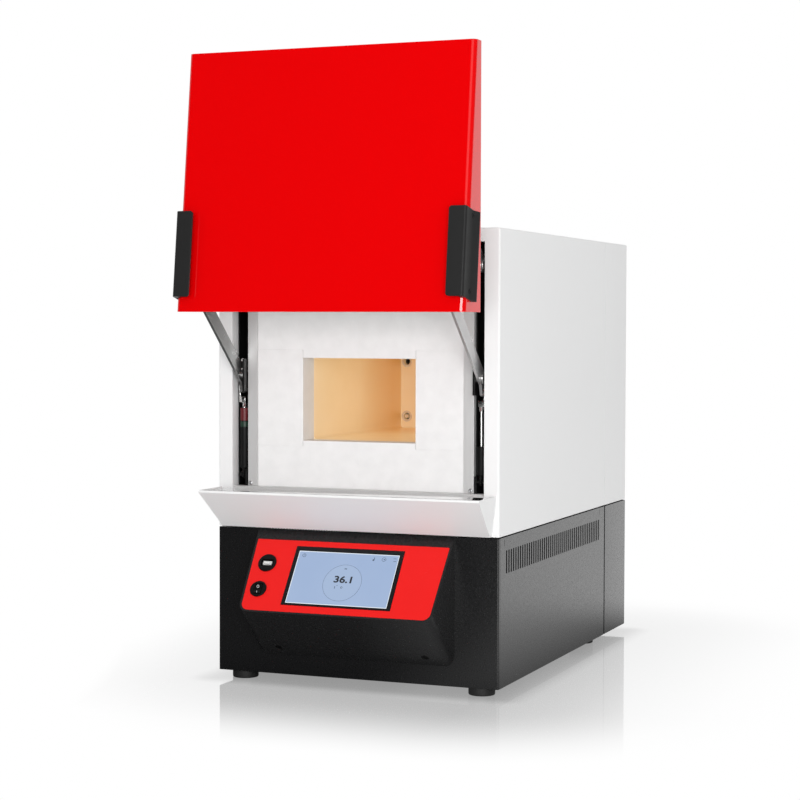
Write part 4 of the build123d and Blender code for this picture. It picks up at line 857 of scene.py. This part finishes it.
# %% Coloured sleeves on the left strut
SLEEVES = {
    "sleeve_red": ((0.12, 0.004, 0.008), 379.0, 397.5),
    "sleeve_green": ((0.003, 0.03, 0.014), 370.0, 377.8),
}
for sleeve_name, (color, low, high) in SLEEVES.items():
    grained(sleeve_name, color, 0.4, 900, 0.00002, 0.4, 1)
    sleeve_profile = [(5.95, low), (6.15, low + 0.1), (6.15, high - 0.1), (5.95, high)]
    sleeve = turned(sleeve_profile, (-STRUT_X, STRUT_Y, 0), UP, 40, ring=True)
    built(f"strut_{sleeve_name}", [sleeve], sleeve_name)

# %% [markdown]
# ## The display and its marks
# The screen shows the chamber temperature in a pale ring, with a few small signs along its top. The
# marks are thin solids a little above the glass: text is Blender's own font made a mesh and laid on the
# slope, and rings are a small rectangle carried round a circle. A picture on the glass would be
# quicker, but it turns soft up close.

# %% Inks
INKS = {
    "ink_dark": ((0.01, 0.014, 0.02), 0.0),
    "ink_line": ((0.04, 0.07, 0.12), 0.5),
    "ink_ring": ((0.17, 0.23, 0.36), 0.6),
    "ink_pale": ((0.43, 0.56, 0.79), 0.8),
    "ink_rim": ((0.9, 0.96, 1.0), 1.0),
    # The switch's white print glows a little: a painted highlight that keeps it bright
    "mark_white_glow": ((0.85, 0.85, 0.85), 0.8),
}
INK_BODY = (0.02, 0.025, 0.035)
for ink_name, (color, strength) in INKS.items():
    ink = finish(ink_name, INK_BODY, 0.35, Emission_Color=(*color, 1.0), Emission_Strength=strength)
    uneven(ink, 600, 0.3, 0.4, 1)
print(len(INKS), "inks")

# %% Rings and discs laid on the slope
MARK_HEIGHT, DISC_HEIGHT = 0.08, 0.05


def ring_grid(x, up, radius, width, out):
    """A ring of rectangular section: four corner rows carried round a circle on the sloping face."""
    turn = np.linspace(0, 2 * pi, 96, endpoint=False)[None, :]
    half = width / 2
    corners = np.array([(-half, 0), (half, 0), (half, MARK_HEIGHT), (-half, MARK_HEIGHT)])
    reach = radius + corners[:, :1]
    points = on_slope(x + reach * np.cos(turn), up + reach * np.sin(turn), out + corners[:, 1:] + 0 * turn)
    return placed(points), True


def disc_grid(x, up, radius, out):
    """A thin disc: a closed (radius, height) profile carried round the slope's normal."""
    profile = [(0, 0), (radius, 0), (radius, DISC_HEIGHT), (0, DISC_HEIGHT)]
    return turned(profile, on_slope(x, up, out), OUT_OF_SLOPE, 96)


# %% Text laid on the slope
def written(text, x, up, size, out, weight=0.0, squeeze=1.0):
    """A line of text centred at (x, up) on the slope, size mm high; squeeze is its width's factor."""
    curve = bpy.data.curves.new("text_" + text, "FONT")
    curve.body = text
    curve.size = 1.0
    curve.offset = weight
    curve.extrude = 0.02
    curve.resolution_u = 6
    holder = bpy.data.objects.new("text", curve)
    bpy.context.scene.collection.objects.link(holder)
    bpy.context.view_layer.update()
    mesh = bpy.data.meshes.new_from_object(holder.evaluated_get(bpy.context.evaluated_depsgraph_get()))
    bpy.data.objects.remove(holder)
    points = np.empty((len(mesh.vertices), 3))
    mesh.vertices.foreach_get("co", points.ravel())
    middle = (points.max(0) + points.min(0)) / 2
    scale = size / (points[:, 1].max() - points[:, 1].min())
    flat = (points - middle) * (scale * squeeze, scale, 1)
    lifted = np.where(flat[:, 2] > 0, MARK_HEIGHT, 0.0)
    laid = on_slope(x + flat[:, 0], up + flat[:, 1], out + lifted)
    mesh.vertices.foreach_set("co", placed(laid).ravel())
    mesh.update()
    return mesh


def joined(name, meshes):
    """Several meshes as one, welded, with faces outwards."""
    shape = bmesh.new()
    for mesh in meshes:
        shape.from_mesh(mesh)
    bmesh.ops.remove_doubles(shape, verts=shape.verts, dist=SAME_POINT)
    bmesh.ops.recalc_face_normals(shape, faces=shape.faces)
    whole = bpy.data.meshes.new(name)
    shape.to_mesh(whole)
    shape.free()
    return whole


# %% [markdown]
# What lies in the dial starts a little farther out than what lies on the bare glass, so that no two
# marks share a plane, which would flicker.

# %% What the screen shows
ON_GLASS, ON_FIELD_EDGE, ON_FIELD = 0.02, 0.05, 0.08
DIAL, DIAL_RADIUS = (1.2, -8.2), 29.0
built("dial_field", [disc_grid(*DIAL, DIAL_RADIUS, ON_GLASS)], "ink_pale")
built("dial_edge", [ring_grid(*DIAL, DIAL_RADIUS, 0.45, ON_FIELD_EDGE)], "ink_ring")
signs = [ring_grid(-68.3, 33.0, 2.5, 0.6, ON_GLASS), ring_grid(55.0, 32.6, 3.0, 0.5, ON_GLASS)]
signs += [ring_grid(1.9, -15.6, 1.3, 0.6, ON_FIELD)]
signs += [disc_grid(55.6, 32.6, 0.9, ON_GLASS), disc_grid(39.2, 30.8, 1.3, ON_GLASS)]
built("screen_rings", signs, "ink_line")
digits = written("36.1", DIAL[0], -2.8, 11.2, ON_FIELD, 0.03, 1.24)
set_up("temperature", joined("temperature", [digits]), "ink_dark")
SMALL_SIGNS = (
    ("000", 1.0, 14.5, 2.0, ON_FIELD, 0.02), ("-", -5.3, -13.1, 0.6, ON_FIELD),
    ("I", -8.3, -16.0, 3.6, ON_FIELD, 0.04), ("I", 40.3, 33.2, 4.2, ON_GLASS, 0.02),
    ("I", -68.3, 33.4, 2.2, ON_GLASS, 0.02), ("-", 71.4, 34.6, 0.6, ON_GLASS, 0.0, 3.0),
    ("-", 72.0, 30.4, 0.6, ON_GLASS, 0.0, 3.0),
)
set_up("screen_signs", joined("screen_signs", [written(*sign) for sign in SMALL_SIGNS]), "ink_line")
print("temperature and", len(SMALL_SIGNS), "small signs")

# %% [markdown]
# Round the screen runs a thin brighter line, the lit edge of the glass. It is a small section carried
# round four mitred corners.


# %% The lit rim of the screen
def rim_grid(x_half, low, high, width, out):
    """A rectangular loop on the slope: four section corners carried round the four mitred corners."""
    corners = np.array([(-1, -1), (1, -1), (1, 1), (-1, 1)])[None]
    section = np.array([(0, 0), (width, 0), (width, DISC_HEIGHT), (0, DISC_HEIGHT)])
    middle, half_up = (low + high) / 2, (high - low) / 2
    inset = section[:, :1]
    x = corners[..., 0] * (x_half - inset)
    up = middle + corners[..., 1] * (half_up - inset)
    points = on_slope(x, up, out + section[:, 1:])
    return placed(points), True


SCREEN_HALF, SCREEN_LOW, SCREEN_HIGH = 77.3, -44.5, 40.1
built("screen_rim", [rim_grid(SCREEN_HALF, SCREEN_LOW, SCREEN_HIGH, 0.9, ON_GLASS)], "ink_rim")

# %% [markdown]
# The rocker carries a white ring and a white bar. Its top is dished, an arc of 14.51 mm radius, and the
# rocker rests tilted by 8 degrees, so a mark at v along it stands at z = 21.11 - sqrt(14.51^2 - v^2)
# above the axis, and both are then turned by the tilt.

# %% Marks on the power switch
SWITCH = (-124.5, -25.5)
AXIS_DEPTH, ROCKER_TILT = 4.0, radians(8)
DISH_RADIUS, DISH_CENTRE = 14.51, 21.11
RING_V, RING_RADIUS, RING_HALF = 3.4, 1.75, 0.26
BAR_V, BAR_HALF_LENGTH, BAR_HALF = -4.6, 1.5, 0.3
INK_THICKNESS = 0.06


def on_rocker(x, v, height):
    """A point on the dished rocker: x across, v along it, height above its surface, in mm."""
    z = DISH_CENTRE - np.sqrt(DISH_RADIUS**2 - v**2) + height
    up = v * cos(ROCKER_TILT) - z * sin(ROCKER_TILT)
    out = v * sin(ROCKER_TILT) + z * cos(ROCKER_TILT) - AXIS_DEPTH
    points = on_slope(SWITCH[0] + x, SWITCH[1] + up, out)
    return placed(points)


turn = np.linspace(0, 2 * pi, 48, endpoint=False)[None, :]
ink_level = INK_THICKNESS * np.array([0, 0, 1, 1])[:, None]
reach = RING_RADIUS + RING_HALF * np.array([-1, 1, 1, -1])[:, None]
off_ring = on_rocker(reach * np.cos(turn), RING_V + reach * np.sin(turn), ink_level + 0 * turn)
spread = np.array([0, 1, 1, 0])[:, None]
bar_x = BAR_HALF * spread * np.array([-1, 1, 1, -1])
bar_v = BAR_V + BAR_HALF_LENGTH * spread * np.array([-1, -1, 1, 1])
on_bar = on_rocker(bar_x, bar_v, ink_level + 0 * bar_v)
# The marks glow a little: a painted highlight on the white print
built("switch_marks", [(off_ring, True), (on_bar, False)], "mark_white_glow", "rocker")

# %% [markdown]
# ## Small things that the solids leave out
# The white blocks of the chamber's front are laid with thin joints. An open gap would show black, so a
# thin slab of the same fibre closes each one just behind the face and leaves only a fine line.

# %% Joint fillers between the insulating blocks
BRICK_FACE, FILLER_BACK = 13.2, 1.5
UPRIGHT_JOINTS, UPRIGHT_HALF, UPRIGHT_SUNK = ((284.4, 351.8), (472.2, 635.5)), 0.24, 0.12
LEVEL_JOINTS, LEVEL_HALF, LEVEL_SUNK = (343.85, 483.45), 0.22, 0.3
OPENING_HALF, BRICKS_HALF = 88.2, 159.8


def filler(x0, x1, low, high, sunk):
    """A thin slab in a joint, from a little behind the blocks' face inwards."""
    return slab(x0, x1, BRICK_FACE + sunk, BRICK_FACE + FILLER_BACK, low, high, 0.02, 0.02)


fillers = [filler(-UPRIGHT_HALF, UPRIGHT_HALF, low, high, UPRIGHT_SUNK) for low, high in UPRIGHT_JOINTS]
for level in LEVEL_JOINTS:
    for x0, x1 in ((-BRICKS_HALF, -OPENING_HALF), (OPENING_HALF, BRICKS_HALF)):
        fillers.append(filler(x0, x1, level - LEVEL_HALF, level + LEVEL_HALF, LEVEL_SUNK))
built("joint_fillers", fillers, "front_block_white")

# %% [markdown]
# A loose polished tray lies on the shelf's deck and mirrors the blocks behind it. In front of it, behind
# the shelf's rim, lies a dark grey strip: painted shade for the gap between the deck and the rim. Both
# are slabs that are hardly thicker than the sheet.

# %% Tray on the shelf
DECK, TRAY_HALF = 280.3, 211.5
TRAY_BACK, TRAY_FRONT_EDGE, SHADE_STRIP_FRONT = -0.6, -55.0, -69.8
tray_steel = finish("tray_steel", (0.93, 0.93, 0.93), 0.05, metallic=1.0)
raised(tray_steel, noise(tray_steel, 40, 2, (0.05, 1, 1)), 0.00002, 0.1)
# Painted shade: a dark grey strip in front of the tray, for the shade between deck and rim
grained("tray_gap_shade", (0.16, 0.16, 0.16), 0.5, 600, 0.00002, 0.3)
tray = slab(-TRAY_HALF, TRAY_HALF, TRAY_FRONT_EDGE, TRAY_BACK, DECK + 0.05, DECK + 0.6, 0.1, 1.0)
built("shelf_tray", [tray], "tray_steel")
gap_shade_strip = slab(-TRAY_HALF, TRAY_HALF, SHADE_STRIP_FRONT, TRAY_FRONT_EDGE - 0.2, DECK + 0.05, DECK + 1.0, 0.2, 1.0)
built("shelf_tray_gap_shade", [gap_shade_strip], "tray_gap_shade")

# %% [markdown]
# Each handle is held from the side by two screws in sunk cups. The door's front leans, so their places
# are given from its top: down it and ahead of it. A cup is a ring, the screw in it a small head.

# %% Screws in the handles' flanks
FACE_TOP = (-94.5, 901.5)
FACE_TILT = radians(6.675)
FLANK_X, FLANK_AHEAD, FLANK_DOWNS = 216.9, -12.0, (236.0, 338.0)


def on_face(x, ahead, down):
    """A point by the door's sloping front: x across, ahead of the face, down it from its top, in mm."""
    y = FACE_TOP[0] - down * sin(FACE_TILT) - ahead * cos(FACE_TILT)
    z = FACE_TOP[1] - down * cos(FACE_TILT) + ahead * sin(FACE_TILT)
    return (x, y, z)


cup_profile = [(2.0, 0.1), (2.3, 0.5), (3.0, 0.6), (3.3, 0.1), (2.65, -0.3)]
head_profile = [(0, 0.05), (1.9, 0.05), (1.9, 0.3), (1.0, 0.45), (0.8, 0.1), (0, 0.1)]
flank_screws = []
for side in SIDES:
    for down in FLANK_DOWNS:
        spot = on_face(side * FLANK_X, FLANK_AHEAD, down)
        flank_screws.append(turned(cup_profile, spot, (side, 0, 0), 32, ring=True))
        flank_screws.append(turned(head_profile, spot, (side, 0, 0), 36, flats=(3, 4)))
built("handle_screws", flank_screws, "socket_black", "door")

# %% [markdown]
# Domed rivets hold the door's back plate along both edges, and button screws hold the brackets in the
# slots. They are hardly more than dots, but they show once the door is seen from behind.

# %% Rivets in the door's back plate
RIVET_X, RIVET_Y = 163.0, -73.4
rivet_profile = [(0, -0.2), (3.0, -0.2), (3.0, 0.2), (2.4, 0.9), (1.4, 1.3), (0, 1.4)]
rivet_places = [(side * RIVET_X, RIVET_Y, z) for side in SIDES for z in np.linspace(552.0, 888.0, 5)]
rivets = [turned(rivet_profile, spot, BACKWARD, 32) for spot in rivet_places]
built("door_rivets", rivets, "zinc", "door")

# %% Bolts on the brackets in the slots
BOLT_X, BOLT_Y, BOLT_LEVELS = 180.0, 5.0, (455.0, 468.0, 583.0, 625.0)
bolt_rows, bolt_flats = socket_head(2.8, 2.2, 1.3)
bolt_places = [(side * BOLT_X, BOLT_Y, z) for side in SIDES for z in BOLT_LEVELS]
bolts = [turned(bolt_rows, spot, FORWARD, 32, flats=bolt_flats) for spot in bolt_places]
built("bracket_bolts", bolts, "bright_steel")

# %% [markdown]
# The muffle's back has an upper port for the fumes and a lower one for the thermocouple. A pale bush
# sits round each: a ring with a low rounded lip.

# %% Bushes in the muffle's back
PORT_X, MUFFLE_BACK = -78.0, 396.6
FUME_PORT, PROBE_PORT = 460.0, 371.0
bush_profile = [(5.5, -1.2), (5.5, 0.2), (6.4, 0.6), (8.6, 0.4), (9.0, -0.1), (8.6, -1.2)]
fume_bush = turned(bush_profile, (PORT_X, MUFFLE_BACK, FUME_PORT), FORWARD, 48, ring=True)
built("port_bush", [fume_bush], "seal_fibre")
probe_bush = turned(bush_profile, (PORT_X, MUFFLE_BACK, PROBE_PORT), FORWARD, 48, ring=True)
built("probe_bush", [probe_bush], "probe_ceramic")

# %% [markdown]
# The door's seal is a soft cord of D-shaped section pressed into a frame: the section is carried round
# a rounded rectangle. The outline point at angle t is the corner centre plus r (cos t, sin t), the
# section gives how far outwards and how high above the plug each row runs.

# %% Door seal
SEAL_HALF, SEAL_CORNER = (111.0, 85.0), 10.0
SEAL_LEVEL, PLUG_FACE = 664.1, -61.4
CORD_HALF, CORD_HEIGHT, CORD_LIFT = 7.0, 2.9, 0.25
steps = np.linspace(0, pi / 2, 8)
corner_turns = np.concatenate([quarter * pi / 2 + steps for quarter in range(4)])
corner_signs = np.repeat([(1, 1), (-1, 1), (-1, -1), (1, -1)], len(steps), axis=0)
section_turn = np.linspace(0, pi, 13)
outwards = np.concatenate([CORD_HALF * np.cos(section_turn), [0.2 - CORD_HALF, CORD_HALF - 0.2]])
height = np.concatenate([CORD_LIFT + CORD_HEIGHT * np.sin(section_turn) ** 0.7, [0.0, 0.0]])
reach_out = SEAL_CORNER + outwards[:, None]
seal_x = corner_signs[:, 0] * (SEAL_HALF[0] - SEAL_CORNER) + reach_out * np.cos(corner_turns)
seal_z = corner_signs[:, 1] * (SEAL_HALF[1] - SEAL_CORNER) + reach_out * np.sin(corner_turns)
seal_points = place(seal_x, PLUG_FACE + height[:, None] + 0 * seal_x, SEAL_LEVEL + seal_z)
built("door_seal_cord", [(seal_points, True)], "seal_fibre", "door", ("door_seal",))
